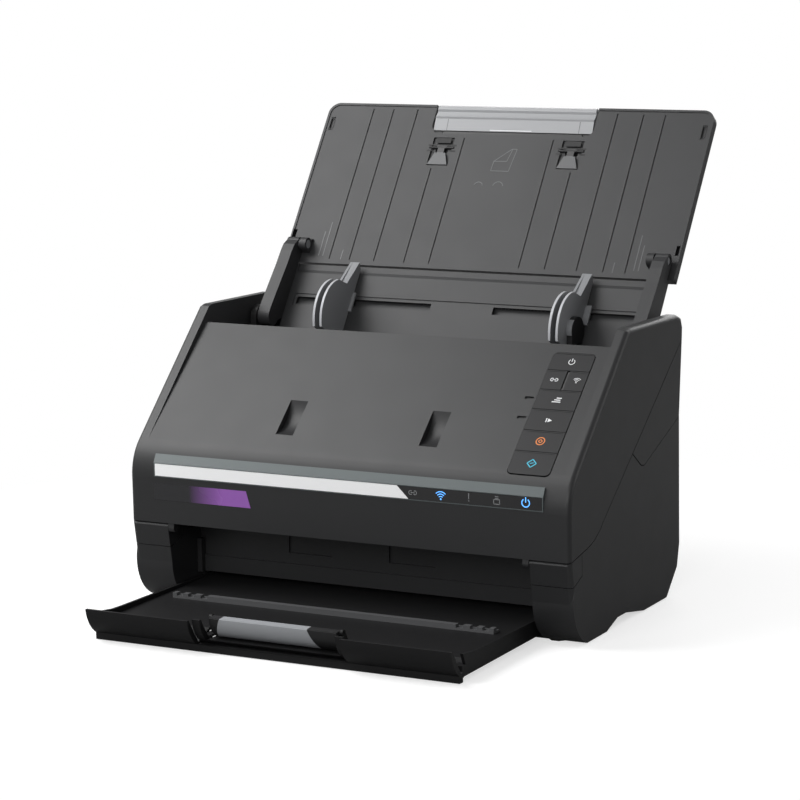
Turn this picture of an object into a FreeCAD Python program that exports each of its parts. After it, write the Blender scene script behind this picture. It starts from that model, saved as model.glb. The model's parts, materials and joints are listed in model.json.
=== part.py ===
import FreeCAD, Part
import math
import os

# Sheet-fed photo scanner, millimetres. X runs to the viewer's right, Y to the back, Z up.
# Sections in the YZ plane are drawn with Y = 0 at the middle of the body's depth; every
# solid is moved at the end so that the origin is the middle of the open scanner's footprint.

# Body
body_width = 296.0
body_front = -84.5
body_rear = 84.5
body_bottom = 0.6
skin = 2.5
side_rounding = 3.0
shadow_gap = 0.6

# Seam between base and opening cover, seen from the side
seam_front_z = 51.8
seam_flat_end = (-61.0, 55.9)
seam_bend_mid = (-48.5, 59.9)
seam_slope_start = (-38.0, 67.0)
seam_angle = 36.9
wedge_front_y = 5.0
wedge_low = (18.2, 89.7)
wedge_low_rear = (22.6, 89.3)
wedge_rear_z = 110.8
wedge_gap = 0.4
rear_wall_y = 79.5
rear_wall_top = 161.0

# Front of the opening cover
knee_start_z = 80.0
knee_radius = 30.0
panel_slope = 41.6
cheek_slope = 43.6
panel_top_y = -4.5
panel_skin = 3.0
cheek_thickness = 7.7
cheek_top_z = 174.9
cheek_rear_top = (76.0, 173.0)
cheek_rear_round = (82.2, 170.6)
cheek_rear_end = (84.6, 164.6)
lip_depth = 23.0
lip_skin = 2.6

# Output bay between the front pillars
pillar_width = 25.94
bay_half = body_width / 2 - pillar_width
bay_wall = 2.6
bay_back_y = -46.0
tray_room_top = 15.0
floor_top = 3.0
cap_seam_z = 37.0

# Input tray plane: its split line, tilt and the axes that carry it
tray_tilt = 54.4
split_y = 91.6
split_z = 191.0
pivot_s = -45.0
pivot_t = 10.5
fold_s = 11.5
fold_t = 4.8
bed_inset = 21.5
bed_half = body_width / 2 - bed_inset
bed_length = 65.0
bed_skin = 1.8
panel_inset = 9.4
panel_half = body_width / 2 - panel_inset
panel_length = 121.8
panel_depth = 5.2
plate_skin = 1.8
arm_thickness = 8.3
arm_inner = bed_half
arm_outer = arm_inner + arm_thickness
running = 0.05

# Edge guides with their rack and pinion
guide_x = 79.0
guide_width = 6.6
fin_skin = 1.6
rack_line_s = -27.0
rack_module = 0.8
pinion_teeth = 10
rack_depth = 1.6
rack_height = 2.6
rack_reach = 118.0
rack_toothed = 92.0
slide_gap = 0.2

# Output tray
tray_side_gap = 2.36
tray_half = bay_half - tray_side_gap
tray_front_y = -169.5
tray_lip_y = -179.7
tray_lip_z = 20.75
tray_rear_y = -20.0
tray_floor_z = 3.4
tray_deck_z = 11.4
deck_skin = 1.8
rail_width = 6.0
extension_1_half = 49.5
extension_2_half = 44.0
nest_gap = 0.4

# Paper path below the bed: a slope, a bend and a flatter slope out to the bay
path_bend_start = (30.0, 105.0)
path_bend_mid = (24.4, 99.0)
path_slope_start = (16.0, 94.0)
path_angle = 36.2
path_gap = 1.5
guide_skin = 2.2
guide_half = bed_half + 1.1
frame_x = guide_half + 0.2
frame_skin = 1.6
shaft_radius = 3.0

# Gears
gear_module = 1.0
gear_x = frame_x + frame_skin + 1.2
gear_width = 4.0
feed_teeth = 28
eject_teeth = 22
pickup_teeth = 20
pickup_idler_teeth = 12
eject_idler_teeth = 28
motor_teeth = 12

# Keys on the sloping control panel
key_right = body_width / 2 - 16.5
key_column = 26.8
key_left = key_right - key_column
key_split = key_right - 12.9
key_rows = (-6.5, -19.9, -34.6, -49.3, -65.0, -80.3, -97.0)
key_gap = 0.35
key_proud = 0.4
key_corner = 3.0

V = FreeCAD.Vector


def direction(angle):
    """Unit step (y, z) at an angle above the +Y direction, in degrees."""
    return math.cos(math.radians(angle)), math.sin(math.radians(angle))


def along(start, angle, distance, lift=0.0):
    """Point reached from start along an angle, then lifted square to it."""
    cy, cz = direction(angle)
    return start[0] + cy * distance - cz * lift, start[1] + cz * distance + cy * lift


def wire_yz(outline, x):
    """Closed wire at one x; two numbers are a straight run, four an arc by its middle."""
    edges = []
    start = outline[0]
    for item in list(outline[1:]) + [outline[0]]:
        a = V(x, start[0], start[1])
        end = item[-2:]
        b = V(x, end[0], end[1])
        if len(item) == 4:
            edges.append(Part.Arc(a, V(x, item[0], item[1]), b).toShape())
        elif a.distanceToPoint(b) > 1e-6:
            edges.append(Part.LineSegment(a, b).toShape())
        start = end
    return Part.Wire(edges)


def prism(outline, x0, x1):
    """Solid with a YZ outline between two x planes."""
    return Part.Face(wire_yz(outline, x0)).extrude(V(x1 - x0, 0, 0))


def box(x0, x1, y0, y1, z0, z1):
    return Part.makeBox(x1 - x0, y1 - y0, z1 - z0, V(x0, y0, z0))


def rod_x(radius, x0, x1, centre):
    """Round bar along X with its axis through centre (y, z)."""
    return Part.makeCylinder(radius, x1 - x0, V(x0, centre[0], centre[1]), V(1, 0, 0))


def mirror(shape):
    return shape.mirror(V(0, 0, 0), V(1, 0, 0))


def both_sides(shape):
    """A shape and its mirror image as two solids of one compound."""
    return Part.makeCompound([shape, mirror(shape)])


def join(first, *rest):
    return first.fuse(list(rest)).removeSplitter()


def solid_of(shape):
    """The single solid inside a result."""
    return shape.Solids[0] if len(shape.Solids) == 1 else shape


def frame_at(origin, angle):
    """Placement whose local X is across, Y runs along the angle and Z stands off it."""
    cy, cz = direction(angle)
    matrix = FreeCAD.Matrix(1, 0, 0, 0,
                            0, cy, -cz, origin[0],
                            0, cz, cy, origin[1],
                            0, 0, 0, 1)
    return FreeCAD.Placement(matrix)


def placed(shape, place):
    copy = shape.copy()
    copy.Placement = place.multiply(copy.Placement)
    return copy


def upright_edges(shape, radius, pick=None):
    """Round the edges that stand along local Z, or those of them that pick chooses."""
    edges = []
    for edge in shape.Edges:
        first, last = edge.Vertexes[0].Point, edge.Vertexes[-1].Point
        stands = abs(first.x - last.x) < 1e-6 and abs(first.y - last.y) < 1e-6
        if stands and abs(first.z - last.z) > 1e-6:
            if pick is None or pick(first.x, first.y):
                edges.append(edge)
    return shape.makeFillet(radius, edges)


def plate(x0, x1, s0, s1, t0, t1, radius=0.0):
    """Flat plate in a local frame, its corners rounded when a radius is given."""
    shape = box(x0, x1, s0, s1, t0, t1)
    return upright_edges(shape, radius) if radius > 0 else shape


def side_edges(shape, half, pick):
    """Edges lying in the two side planes that pick chooses by their middle (y, z)."""
    found = []
    for edge in shape.Edges:
        box_ = edge.BoundBox
        on_side = abs(abs(box_.XMin) - half) < 1e-4 and box_.XLength < 1e-4
        middle = edge.CenterOfMass
        if on_side and pick(middle.y, middle.z):
            found.append(edge)
    return found


half_width = body_width / 2
seam_run = direction(seam_angle)
wedge_top = along(seam_slope_start, seam_angle, (wedge_front_y - seam_slope_start[0]) / seam_run[0])
seam_rear = along(seam_slope_start, seam_angle,
                  (body_rear - 0.2 - seam_slope_start[0]) / seam_run[0])
knee_centre = (body_front + knee_radius, knee_start_z)


def knee_point(slope, share=1.0):
    """Point on the knee where the surface has turned by a share of its way to the slope."""
    turn = math.radians((90 - slope) * share)
    return (knee_centre[0] - knee_radius * math.cos(turn),
            knee_centre[1] + knee_radius * math.sin(turn))


panel_foot = knee_point(panel_slope)
panel_run = (panel_top_y - panel_foot[0]) / direction(panel_slope)[0]
panel_top = along(panel_foot, panel_slope, panel_run)
slope_frame = frame_at(panel_top, panel_slope)

tray_frame = frame_at((split_y, split_z), tray_tilt)
pivot = along((split_y, split_z), tray_tilt, pivot_s, pivot_t)
fold = along((split_y, split_z), tray_tilt, fold_s, fold_t)

path_run = direction(path_angle)
path_end = along(path_slope_start, path_angle, -(path_slope_start[0] - bay_back_y + 1.0) / path_run[0])


def path_point(distance, lift=0.0):
    """Point beside the flatter stretch of the paper path, measured down from its top."""
    return along(path_slope_start, path_angle, -distance, lift)


pickup_radius = 11.0
retard_radius = 9.0
feed_radius = 8.0
eject_radius = 7.0
feed_idler_radius = 5.0
eject_idler_radius = 4.5
tyre_proud = 0.8
nip = path_gap - 0.4
pickup_contact = along((split_y, split_z), tray_tilt, -100.8)
pickup_centre = along(pickup_contact, tray_tilt, 0, -(pickup_radius - tyre_proud))
retard_centre = along(pickup_contact, tray_tilt, 0, nip + retard_radius)
feed_centre = path_point(9.0, -(feed_radius - tyre_proud))
feed_idler_centre = path_point(9.0, nip + feed_idler_radius)
eject_centre = path_point(62.0, -(eject_radius - tyre_proud))
eject_idler_centre = path_point(62.0, nip + eject_idler_radius)
scan_distance = 30.0
glass_length = 2 * (guide_half - 14.6)
glass_width = 17.0
glass_thickness = 2.0


def base_outline():
    """Side outline of the base below the seam, with the notch that takes the wedge."""
    return [(body_front, seam_front_z), seam_flat_end, seam_bend_mid + seam_slope_start,
            wedge_top, wedge_low, wedge_low_rear, (rear_wall_y, wedge_rear_z),
            (rear_wall_y, 30.0), (75.6, 15.4), (65.0, 5.2), (57.0, body_bottom),
            (21.0, body_bottom), (-6.0, 5.5), (-18.0, 5.5), (-34.0, body_bottom),
            (-62.0, body_bottom), (-74.3, 9.3, -80.5, 27.0)]


def pillar_cap_region(x0, x1, grow):
    """Block that holds the separate top of a front pillar."""
    low = cap_seam_z + grow
    rear = -68.0 - grow
    return prism([(-95, low), (-80 - grow, low), (rear, low + 4.5), (rear, 70), (-95, 70)], x0, x1)


foot_size = (26.0, 11.0)
foot_height = 2.6
foot_bevel = 3.2
foot_places = ((half_width - 20.0, -50.0), (half_width - 20.0, 42.0))


def foot_pad(x, y, grow=0.0):
    """Oblong rubber pad with bevelled corners, standing on the table."""
    half_x, half_y = foot_size[1] / 2 + grow, foot_size[0] / 2 + grow
    corners = [(half_x, half_y - foot_bevel), (half_x - foot_bevel, half_y)]
    corners += [(-px, py) for px, py in corners[::-1]]
    corners += [(-px, -py) for px, py in corners]
    points = [V(x + px, y + py, 0) for px, py in corners]
    return Part.Face(Part.makePolygon(points + [points[0]])).extrude(V(0, 0, foot_height))


def rubber_feet():
    pads = [foot_pad(side * x, y) for x, y in foot_places for side in (1, -1)]
    return Part.makeCompound(pads)


def base_skin():
    """Outer block of the base with rounded front and rear side edges."""
    block = prism(base_outline(), -half_width, half_width)
    edges = side_edges(block, half_width, lambda y, z: y < -76 or (y > 70 and z < 110))
    return block.makeFillet(side_rounding, edges)


def base_housing():
    """Moulded base: pillars, output bay, tray room, floor and open side rooms."""
    shell = base_skin()
    inner = half_width - skin
    bay = box(-bay_half, bay_half, -100, bay_back_y, floor_top, 80)
    bay_mouth = box(-bay_half, bay_half, -100, -64.0, -1, 80)
    tray_room = box(-tray_half - 0.8, tray_half + 0.8, bay_back_y - 1, rear_wall_y - skin,
                    floor_top, tray_room_top)
    room = box(-inner, inner, bay_back_y + bay_wall, rear_wall_y - skin, tray_room_top + 2.2, 170)
    sill = path_end[1] - guide_skin - 1.0
    over_path = prism([(bay_back_y + bay_wall + 0.5, sill), (-60, sill), (-60, 120), (60, 200)],
                      -frame_x, frame_x)
    side_low = box(bay_half + bay_wall, inner, -40, 62, 8.2, 30)
    pillar_room = prism([(-79.5, 70), (-76.6, 27), (-70.5, 9.5), (-58, 6.5), (-40, 8.2), (-40, 70)],
                        bay_half + bay_wall, inner)
    shell = shell.cut([bay, bay_mouth, tray_room, room, over_path, side_low, mirror(side_low),
                       pillar_room, mirror(pillar_room),
                       pillar_cap_region(bay_half - 1, half_width + 1, 0.0),
                       pillar_cap_region(-half_width - 1, -bay_half + 1, 0.0)])
    recesses = [box(-59.0, -29.0, bay_back_y - 1, bay_back_y + 1.3, 31.6, 60),
                box(10.5, 41.5, bay_back_y - 1, bay_back_y + 1.3, 31.6, 60)]
    ledge = box(-bay_half, bay_half, bay_back_y - 1.2, bay_back_y, tray_room_top, 25.0)
    rib = box(bay_half - 3.0, bay_half, bay_back_y - 5.0, bay_back_y, tray_room_top, 36.0)
    shell = shell.cut(recesses).fuse([ledge, rib, mirror(rib)])
    pads = [foot_pad(side * x, y, 0.3) for x, y in foot_places for side in (1, -1)]
    inlet, socket, lock = rear_ports()
    return solid_of(shell.cut(pads + [inlet, socket, lock]).removeSplitter())


inlet_place = (36.0 - half_width, 34.0)
inlet_size = (11.0, 11.0)
socket_place = (60.0 - half_width, 34.0)
socket_size = (12.0, 11.0)
lock_place = (half_width - 30.0, 40.0)
lock_size = (7.0, 3.0)


def rear_port(place, size, y0=70.0, y1=90.0, grow=0.0):
    """Block through the rear wall for a socket at (x, z)."""
    return box(place[0] - size[0] / 2 - grow, place[0] + size[0] / 2 + grow, y0, y1,
               place[1] - size[1] / 2 - grow, place[1] + size[1] / 2 + grow)


def rear_ports():
    return (rear_port(inlet_place, inlet_size), rear_port(socket_place, socket_size),
            rear_port(lock_place, lock_size))


def barrel_inlet():
    """Barrel inlet for the power adapter, with its centre pin."""
    body = rear_port(inlet_place, inlet_size, rear_wall_y - 12.0, rear_wall_y - 0.3)
    bore = Part.makeCylinder(3.2, 9.0, V(inlet_place[0], rear_wall_y - 9.0, inlet_place[1]), V(0, 1, 0))
    pin = Part.makeCylinder(0.9, 8.2, V(inlet_place[0], rear_wall_y - 9.4, inlet_place[1]), V(0, 1, 0))
    return solid_of(body.cut(bore).fuse(pin).removeSplitter())


def usb_socket():
    """Square data socket with its tongue."""
    x, z = socket_place
    body = rear_port(socket_place, socket_size, rear_wall_y - 14.0, rear_wall_y - 0.3)
    mouth = box(x - 4.2, x + 4.2, rear_wall_y - 9.5, rear_wall_y + 1, z - 3.9, z + 3.9)
    tongue = box(x - 2.8, x + 2.8, rear_wall_y - 9.9, rear_wall_y - 1.5, z - 1.3, z + 1.3)
    return solid_of(body.cut(mouth).fuse(tongue).removeSplitter())


def rear_sockets():
    return Part.makeCompound([barrel_inlet(), usb_socket()])


def pillar_caps():
    """Separate top blocks of the two front pillars, each with the peg of one cover hinge."""
    block = base_skin().common(pillar_cap_region(bay_half, half_width, wedge_gap))
    hollow = box(bay_half + 5.5, half_width - skin, -79.0, -70.5, 0, 49.0)
    peg = rod_x(pin_radius, bay_half - ear_gap - ear_width, bay_half + 1.0, cover_axis)
    nose = box(bay_half - 1, half_width + 1, body_front - 5, cover_axis[0], cover_axis[1], 60)
    nose = nose.cut(rod_x(ear_radius, bay_half - 2, half_width + 2, cover_axis))
    return both_sides(solid_of(block.cut([hollow, nose]).fuse(peg).removeSplitter()))


cover_axis = (-81.5, 49.5)
pin_radius = 1.5
ear_radius = 2.9
ear_width = 4.0
ear_gap = 0.35


def wedge_outline():
    """Side outline of the rear upper housing between the seam and the base's notch."""
    top_front = (wedge_top[0] + 2 * wedge_gap, wedge_top[1] + wedge_gap)
    return [top_front, (wedge_low[0] + wedge_gap, wedge_low[1] + 0.6),
            (wedge_low_rear[0], wedge_low_rear[1] + wedge_gap),
            (rear_wall_y, wedge_rear_z + wedge_gap), seam_rear]


def rear_upper_housing():
    """Wedge-shaped rear shell: two side fins and the leaning wall behind the input tray."""
    outline = wedge_outline()
    block = prism(outline, -half_width, half_width)
    edges = side_edges(block, half_width, lambda y, z: y > rear_wall_y + 0.5)
    block = block.makeFillet(side_rounding, edges)
    inner = half_width - skin
    lean = (rear_wall_y - skin, wedge_rear_z)
    head = (seam_rear[0] - skin, seam_rear[1])
    room = prism([(-10, 60), (lean[0], 60), lean, head, (head[0], 190), (-10, 190)], -inner, inner)
    crest = half_width - cheek_thickness - 1.0
    wall = prism([(head[0] - 0.2, head[1] - 4), (seam_rear[0] - 0.2, head[1] - 4),
                  (seam_rear[0], rear_wall_top), (head[0], rear_wall_top)], -crest, crest)
    foot = box(-inner + 0.4, inner - 0.4, lean[0] - 2.0, lean[0], wedge_rear_z - 6.0, wedge_rear_z + 4.0)
    root = box(-inner + 0.4, inner - 0.4, lean[0] - 0.5, lean[0] + 0.5, wedge_rear_z + wedge_gap,
               wedge_rear_z + 4.0)
    return solid_of(block.cut(room).fuse([wall, foot, root]).removeSplitter())


post_width = 4.0
post_gap = 0.5
pivot_pin_radius = 4.0


def tray_posts():
    """Uprights inside the cheeks, each with the pin that an arm of the input tray turns on."""
    x0 = arm_outer + post_gap
    x1 = x0 + post_width
    cy, cz = pivot
    web = prism([(cy - 11, 108.0), (cy + 9, 108.0), (cy + 7, cz), (cy, cz + 7, cy - 7, cz)], x0, x1)
    flange = box(x0, half_width - skin, cy - 11, cy + 9, 105.0, 108.0)
    pin = rod_x(pivot_pin_radius, arm_inner + 1.2, x1, pivot)
    return both_sides(solid_of(join(web, flange, pin)))


def cheek_outline():
    """Side outline of the opening cover above the seam."""
    lift = shadow_gap
    foot = knee_point(cheek_slope)
    top = along(foot, cheek_slope, (cheek_top_z - 1.0 - foot[1]) / direction(cheek_slope)[1])
    return [(body_front, seam_front_z + lift), (body_front, knee_start_z),
            knee_point(cheek_slope, 0.5) + foot, top, (top[0] + 3.9, cheek_top_z),
            cheek_rear_top, cheek_rear_round, cheek_rear_end,
            (seam_rear[0], seam_rear[1] + lift), (seam_slope_start[0], seam_slope_start[1] + lift),
            (seam_bend_mid[0], seam_bend_mid[1] + lift, seam_flat_end[0], seam_flat_end[1] + lift)]


def front_skin_outline(depth):
    """Section of the sloping front between the cheeks, as thick as depth."""
    inner_foot = along(panel_foot, panel_slope, 0, -depth)
    inner_top = along(panel_top, panel_slope, 0, -depth)
    inner_radius = knee_radius - depth
    turn = math.radians((90 - panel_slope) / 2)
    inner_mid = (knee_centre[0] - inner_radius * math.cos(turn),
                 knee_centre[1] + inner_radius * math.sin(turn))
    low = seam_front_z + shadow_gap
    return [(body_front, low), (body_front, knee_start_z), knee_point(panel_slope, 0.5) + panel_foot,
            panel_top, inner_top, inner_foot, inner_mid + (body_front + depth, knee_start_z),
            (body_front + depth, low)]


finger_x = (42.5, 54.5)
finger_middle = -69.5
finger_chord = 26.5
finger_depth = 4.6
finger_radius = (finger_chord ** 2 / 4 + finger_depth ** 2) / (2 * finger_depth)


def finger_scoop(radius, x0, x1):
    """Round bar laid across the slope, whose lower side shapes a finger grip."""
    centre = along(panel_top, panel_slope, finger_middle, finger_radius - finger_depth)
    return rod_x(radius, x0, x1, centre)


strip_face = body_front - 0.3
strip_depth = 1.6
strip_low = 81.0


def strip_section():
    """Section of the status strip: upright face and a bevel that follows the knee."""
    back = strip_face + strip_depth
    return [(strip_face, strip_low), (strip_face, 89.6), (-81.9, 94.9), (-80.6, 93.6),
            (back, 88.0), (back, strip_low)]


def strip_recess():
    """Section of the groove in the knee that takes the status strip."""
    back = strip_face + strip_depth + 0.15
    return [(strip_face - 3, strip_low - 0.15), (strip_face - 3, 96.5), (-81.8, 95.2),
            (-80.35, 93.7), (back, 87.95), (back, strip_low - 0.15)]


strip_left = -half_width + 17.5
strip_right = key_right
window_slant_low = strip_right - 86.5
window_slant_high = strip_right - 94.0
lever_axis = (24.0, 141.0)
lever_reach = 34.0
lever_width = 13.0
lever_skin = 2.4
lever_ridge = 0.6


lever_angle = 60.0
lever_swing = 12.0


def lever_outline(grow, swing=0.0):
    """Side outline of the release lever, or of the room that it turns in by its swing."""
    r = lever_width / 2 + grow
    reach = lever_reach - lever_width
    far = lever_angle + swing
    middle = lever_angle + swing / 2
    low, high = along(lever_axis, lever_angle, reach), along(lever_axis, far, reach)
    root_front = along(lever_axis, far, 0, r)
    root_back = along(lever_axis, lever_angle, 0, -r)
    end = along(lever_axis, middle, reach + r - 1.0 + (1.2 if swing else 0.0))
    return [root_front, along(high, far, 0, r - 1.0), end + along(low, lever_angle, 0, 1.0 - r),
            root_back, along(lever_axis, middle, -r) + root_front]


def scanner_cover():
    """Opening front cover: hollow cheeks, sloping panel, knee, lip, hinge ears."""
    block = prism(cheek_outline(), -half_width, half_width)
    edges = side_edges(block, half_width,
                       lambda y, z: z > seam_front_z + 3 and not near_seam(y, z))
    block = block.makeFillet(side_rounding, edges)
    inner = half_width - cheek_thickness
    block = block.cut(box(-inner, inner, -100, 100, 40, 200))
    pocket = prism([(-80.5, 50), (-80.5, 80), (-71.0, 98.0), (1.5, 168.0), (74, 169.0), (79.5, 161.0),
                    (79.5, 150), (-20, 60)], inner + 2.2, half_width - skin)
    lever_boss = prism(lever_outline(3.0, lever_swing), -half_width + 0.5, -inner - 1.0)
    solid_left = mirror(pocket).cut(lever_boss)
    block = block.cut([pocket, solid_left])
    skin_block = prism(front_skin_outline(panel_skin), -inner - 0.5, inner + 0.5)
    lip = prism([(body_front, seam_front_z + shadow_gap),
                 (body_front + lip_depth, seam_flat_end[1] + shadow_gap),
                 (body_front + lip_depth, seam_flat_end[1] + shadow_gap + lip_skin),
                 (body_front, seam_front_z + shadow_gap + lip_skin)], -inner - 0.5, inner + 0.5)
    backing = finger_scoop(finger_radius + 1.8, finger_x[0] - 1.8, finger_x[1] + 1.8)
    under = front_skin_outline(9.0)
    backing = backing.common(prism(under, -inner, inner))
    block = block.fuse([skin_block, lip, backing, mirror(backing)])
    scoop = finger_scoop(finger_radius, finger_x[0], finger_x[1])
    keys = placed(plate(key_left - key_gap, key_right + key_gap, key_rows[-1] - key_gap,
                        key_rows[0] + key_gap, -10, 10, key_corner + key_gap), slope_frame)
    dashes = [placed(plate(key_left - 7.3, key_left - 1.7, s, s + 2.0, -1.0, 5), slope_frame) for s in (-42.5, -57.2)]
    strip = prism(strip_recess(), strip_left - 0.2, strip_right + 0.2)
    lever_room = prism(lever_outline(0.6, lever_swing), -half_width - 1,
                       -half_width + lever_skin + 0.6)
    lever_pin = rod_x(2.05, -half_width - 1, -half_width + lever_skin + 3.0, lever_axis)
    block = block.cut([scoop, mirror(scoop), keys, strip, lever_room, lever_pin] + dashes)
    ear = prism([(-84.0, seam_front_z + 1.5), (cover_axis[0] - ear_radius, cover_axis[1]),
                 (cover_axis[0], cover_axis[1] - ear_radius, cover_axis[0] + ear_radius, cover_axis[1]),
                 (-77.0, seam_front_z + 3.0)],
                bay_half - ear_gap - ear_width, bay_half - ear_gap)
    ear = ear.cut(rod_x(pin_radius + running, 0, half_width, cover_axis))
    return solid_of(block.fuse([ear, mirror(ear)]).removeSplitter())


def near_seam(y, z):
    """True where a point of the side outline lies on the seam and keeps its sharp edge."""
    if y < seam_flat_end[0]:
        return z < seam_flat_end[1] + 2
    line = seam_slope_start[1] + (y - seam_slope_start[0]) * seam_run[1] / seam_run[0]
    return z < line + 2.5


def cover_release_lever():
    """Side lever that frees the cover, with a finger ridge and its pivot stub."""
    face = -half_width + lever_ridge
    paddle = prism(lever_outline(0.0), face, -half_width + lever_skin)
    stub = rod_x(2.0, face, -half_width + lever_skin + 2.8, lever_axis)
    ridges = []
    for step in (-6.0, -2.5, 1.0):
        low = along(lever_axis, lever_angle, lever_reach - lever_width + step - 0.6)
        corners = [along(low, lever_angle, run, rise)
                   for run, rise in ((0, -3.6), (1.2, -3.6), (1.2, 3.6), (0, 3.6))]
        ridges.append(prism(corners, -half_width, face + 0.2))
    return solid_of(join(paddle, stub, *ridges))


throat_top = (-4.0, 158.5)
throat_upper = (2.0, 148.0)
throat_low = (20.0, 124.0)
throat_foot = (28.6, 107.3)


def upper_guide_outline(depth):
    """Paper-side face of the cover's inner guide, from the throat to the exit."""
    bend = path_point(0.0, path_gap)
    last = path_point(66.0, path_gap)
    back = path_point(66.0, path_gap + depth)
    return [throat_top, throat_upper, throat_low, throat_foot, (23.4, 100.9) + bend, last, back,
            (bend[0] - 3.0, bend[1] + depth), (throat_foot[0] - 4.6, throat_foot[1] + 1.0),
            (throat_low[0] - 3.2, throat_low[1] - 1.5), (throat_upper[0] - 3.0, throat_upper[1] - 1.0),
            (throat_top[0] - 1.6, throat_top[1] - 2.2)]


def cover_inner_guide():
    """Guide on the cover that forms the feed throat and the upper side of the path."""
    width = half_width - cheek_thickness
    guide = prism(upper_guide_outline(guide_skin), -guide_half, guide_half)
    wing_top = path_point(4.0, path_gap + 1.0)
    wing_low = path_point(60.0, path_gap + 1.0)
    end = prism([wing_top, throat_low, throat_upper, (-4.0, 143.0),
                 (wing_low[0] - 12, wing_low[1] + 24), wing_low], guide_half - 2.0, guide_half)
    wing = prism([(-20.0, 112.0), (-8.0, 124.0), (-8.0, 130.0), (-20.0, 118.0)],
                 guide_half - 0.1, width)
    windows = [rod_x(retard_radius + 0.8, -14.6, 14.6, retard_centre)]
    for side in (-1, 1):
        x = side * 45.0
        windows.append(rod_x(feed_idler_radius + 0.8, x - 7, x + 7, feed_idler_centre))
        windows.append(rod_x(eject_idler_radius + 0.8, x - 7, x + 7, eject_idler_centre))
    windows.append(scan_block(glass_length + 0.2, glass_width + 0.2, -2.0, 8.0, 1))
    for centre in (retard_centre, feed_idler_centre, eject_idler_centre):
        windows.append(rod_x(idler_shaft + running, -57.0, 57.0, centre))
    guide = guide.fuse([end, mirror(end), wing, mirror(wing)] + roller_cradles())
    return solid_of(guide.cut(windows).removeSplitter())


idler_shaft = 1.5
cradle_skin = 2.4


def roller_cradles():
    """Bearing cheeks that carry the cover's small rollers by their shafts."""
    cradles = []
    for (cy, cz), x in ((retard_centre, 17.0), (feed_idler_centre, 55.0), (eject_idler_centre, 55.0)):
        cheek = prism([(cy - 4.2, cz - 3.4), (cy + 2.6, cz - 1.5), (cy + 2.6, cz + 3.2),
                       (cy - 4.2, cz + 3.2)], x - cradle_skin / 2, x + cradle_skin / 2)
        cradles += [cheek, mirror(cheek)]
    return cradles


def scan_block(length, width, low, high, side):
    """Block across the path at the scan line, below it (side -1) or above it (side 1)."""
    base_lift = path_gap if side > 0 else 0.0
    place = frame_at(path_point(scan_distance, base_lift), path_angle)
    if side > 0:
        return placed(box(-length / 2, length / 2, -width / 2, width / 2, low, high), place)
    return placed(box(-length / 2, length / 2, -width / 2, width / 2, -high, -low), place)


def scan_glass(side):
    """Flat glass strip flush with the paper guide."""
    return scan_block(glass_length, glass_width, 0.0, glass_thickness, side)


def sensor_module(side):
    """Contact image sensor: a slim bar with a lens rod in a groove behind its glass."""
    bar = scan_block(glass_length - 4, glass_width - 3.6, glass_thickness + 0.1, 13.0, side)
    groove = scan_block(glass_length - 14, 2.6, glass_thickness - 1, 5.0, side)
    lens = scan_block(glass_length - 14, 2.0, glass_thickness + 0.9, 5.1, side)
    return solid_of(bar.cut(groove).fuse(lens).removeSplitter())


def roller_windows():
    """Openings in the lower guide for the tyres."""
    cuts = [rod_x(pickup_radius + 0.7, -23.0, -3.0, pickup_centre),
            rod_x(pickup_radius + 0.7, 3.0, 23.0, pickup_centre)]
    for side in (-1, 1):
        x = side * 45.0
        cuts.append(rod_x(feed_radius + 0.7, x - 11, x + 11, feed_centre))
        cuts.append(rod_x(eject_radius + 0.7, x - 11, x + 11, eject_centre))
    return cuts


def lower_paper_guide():
    """Guide on the base that carries the sheet from the bed to the output bay."""
    top = along((split_y, split_z), tray_tilt, -bed_length - 3.2)
    back = along(top, tray_tilt, 0, -guide_skin)
    outline = [top, path_bend_start, path_bend_mid + path_slope_start, path_end,
               (path_end[0], path_end[1] - guide_skin - 0.4),
               along(path_slope_start, path_angle, 0, -guide_skin),
               (path_bend_mid[0] + 1.4, path_bend_mid[1] - 1.9,
                path_bend_start[0] + 1.8, path_bend_start[1] - 1.3), back]
    guide = prism(outline, -guide_half, guide_half)
    ribs = []
    for index in range(11):
        x = (index - 5) * 22.0
        ribs.append(prism([path_point(20.5, 0.35), path_point(20.5, -1.0), path_point(2.0, -1.0),
                           path_point(2.0, 0.35)], x - 0.6, x + 0.6))
        ribs.append(prism([path_point(58.0, 0.35), path_point(58.0, -1.0), path_point(40.0, -1.0),
                           path_point(40.0, 0.35)], x - 0.6, x + 0.6))
    cuts = roller_windows() + [scan_block(glass_length + 0.2, glass_width + 0.2, -3.0, 6.0, -1)]
    for centre in (pickup_centre, feed_centre, eject_centre):
        cuts.append(rod_x(shaft_radius + 0.6, -half_width, half_width, centre))
    return solid_of(guide.fuse(ribs).cut(cuts).removeSplitter())


def side_frame():
    """Steel plate that carries the ends of the base's shafts."""
    feet_z = tray_room_top + 2.2
    outline = [(52.0, feet_z), (56.0, 100.0), (48.5, 116.0), (34.0, 106.5), (16.0, 92.0),
               path_point(64.0, -1.0), (-41.5, feet_z)]
    sheet = prism(outline, frame_x, frame_x + frame_skin)
    window = prism([(8.0, feet_z + 10), (40.0, feet_z + 10), (38.0, 58.0), (12.0, 56.0)],
                   frame_x - 1, frame_x + 5)
    bores = [rod_x(shaft_radius + running, frame_x - 1, frame_x + 5, centre)
             for centre in (pickup_centre, feed_centre, eject_centre)]
    return solid_of(sheet.cut([window] + bores))


def side_frames():
    """Left and right frame; the right one has the motor hole and two studs for idler gears."""
    plain = side_frame()
    motor_hole = rod_x(motor_boss, frame_x - 1, frame_x + 5, motor_centre)
    geared = solid_of(plain.cut(motor_hole).fuse(idler_studs()).removeSplitter())
    return Part.makeCompound([geared, mirror(plain)])


def shaft(centre, left, right):
    return rod_x(shaft_radius, left, right, centre)


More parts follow.
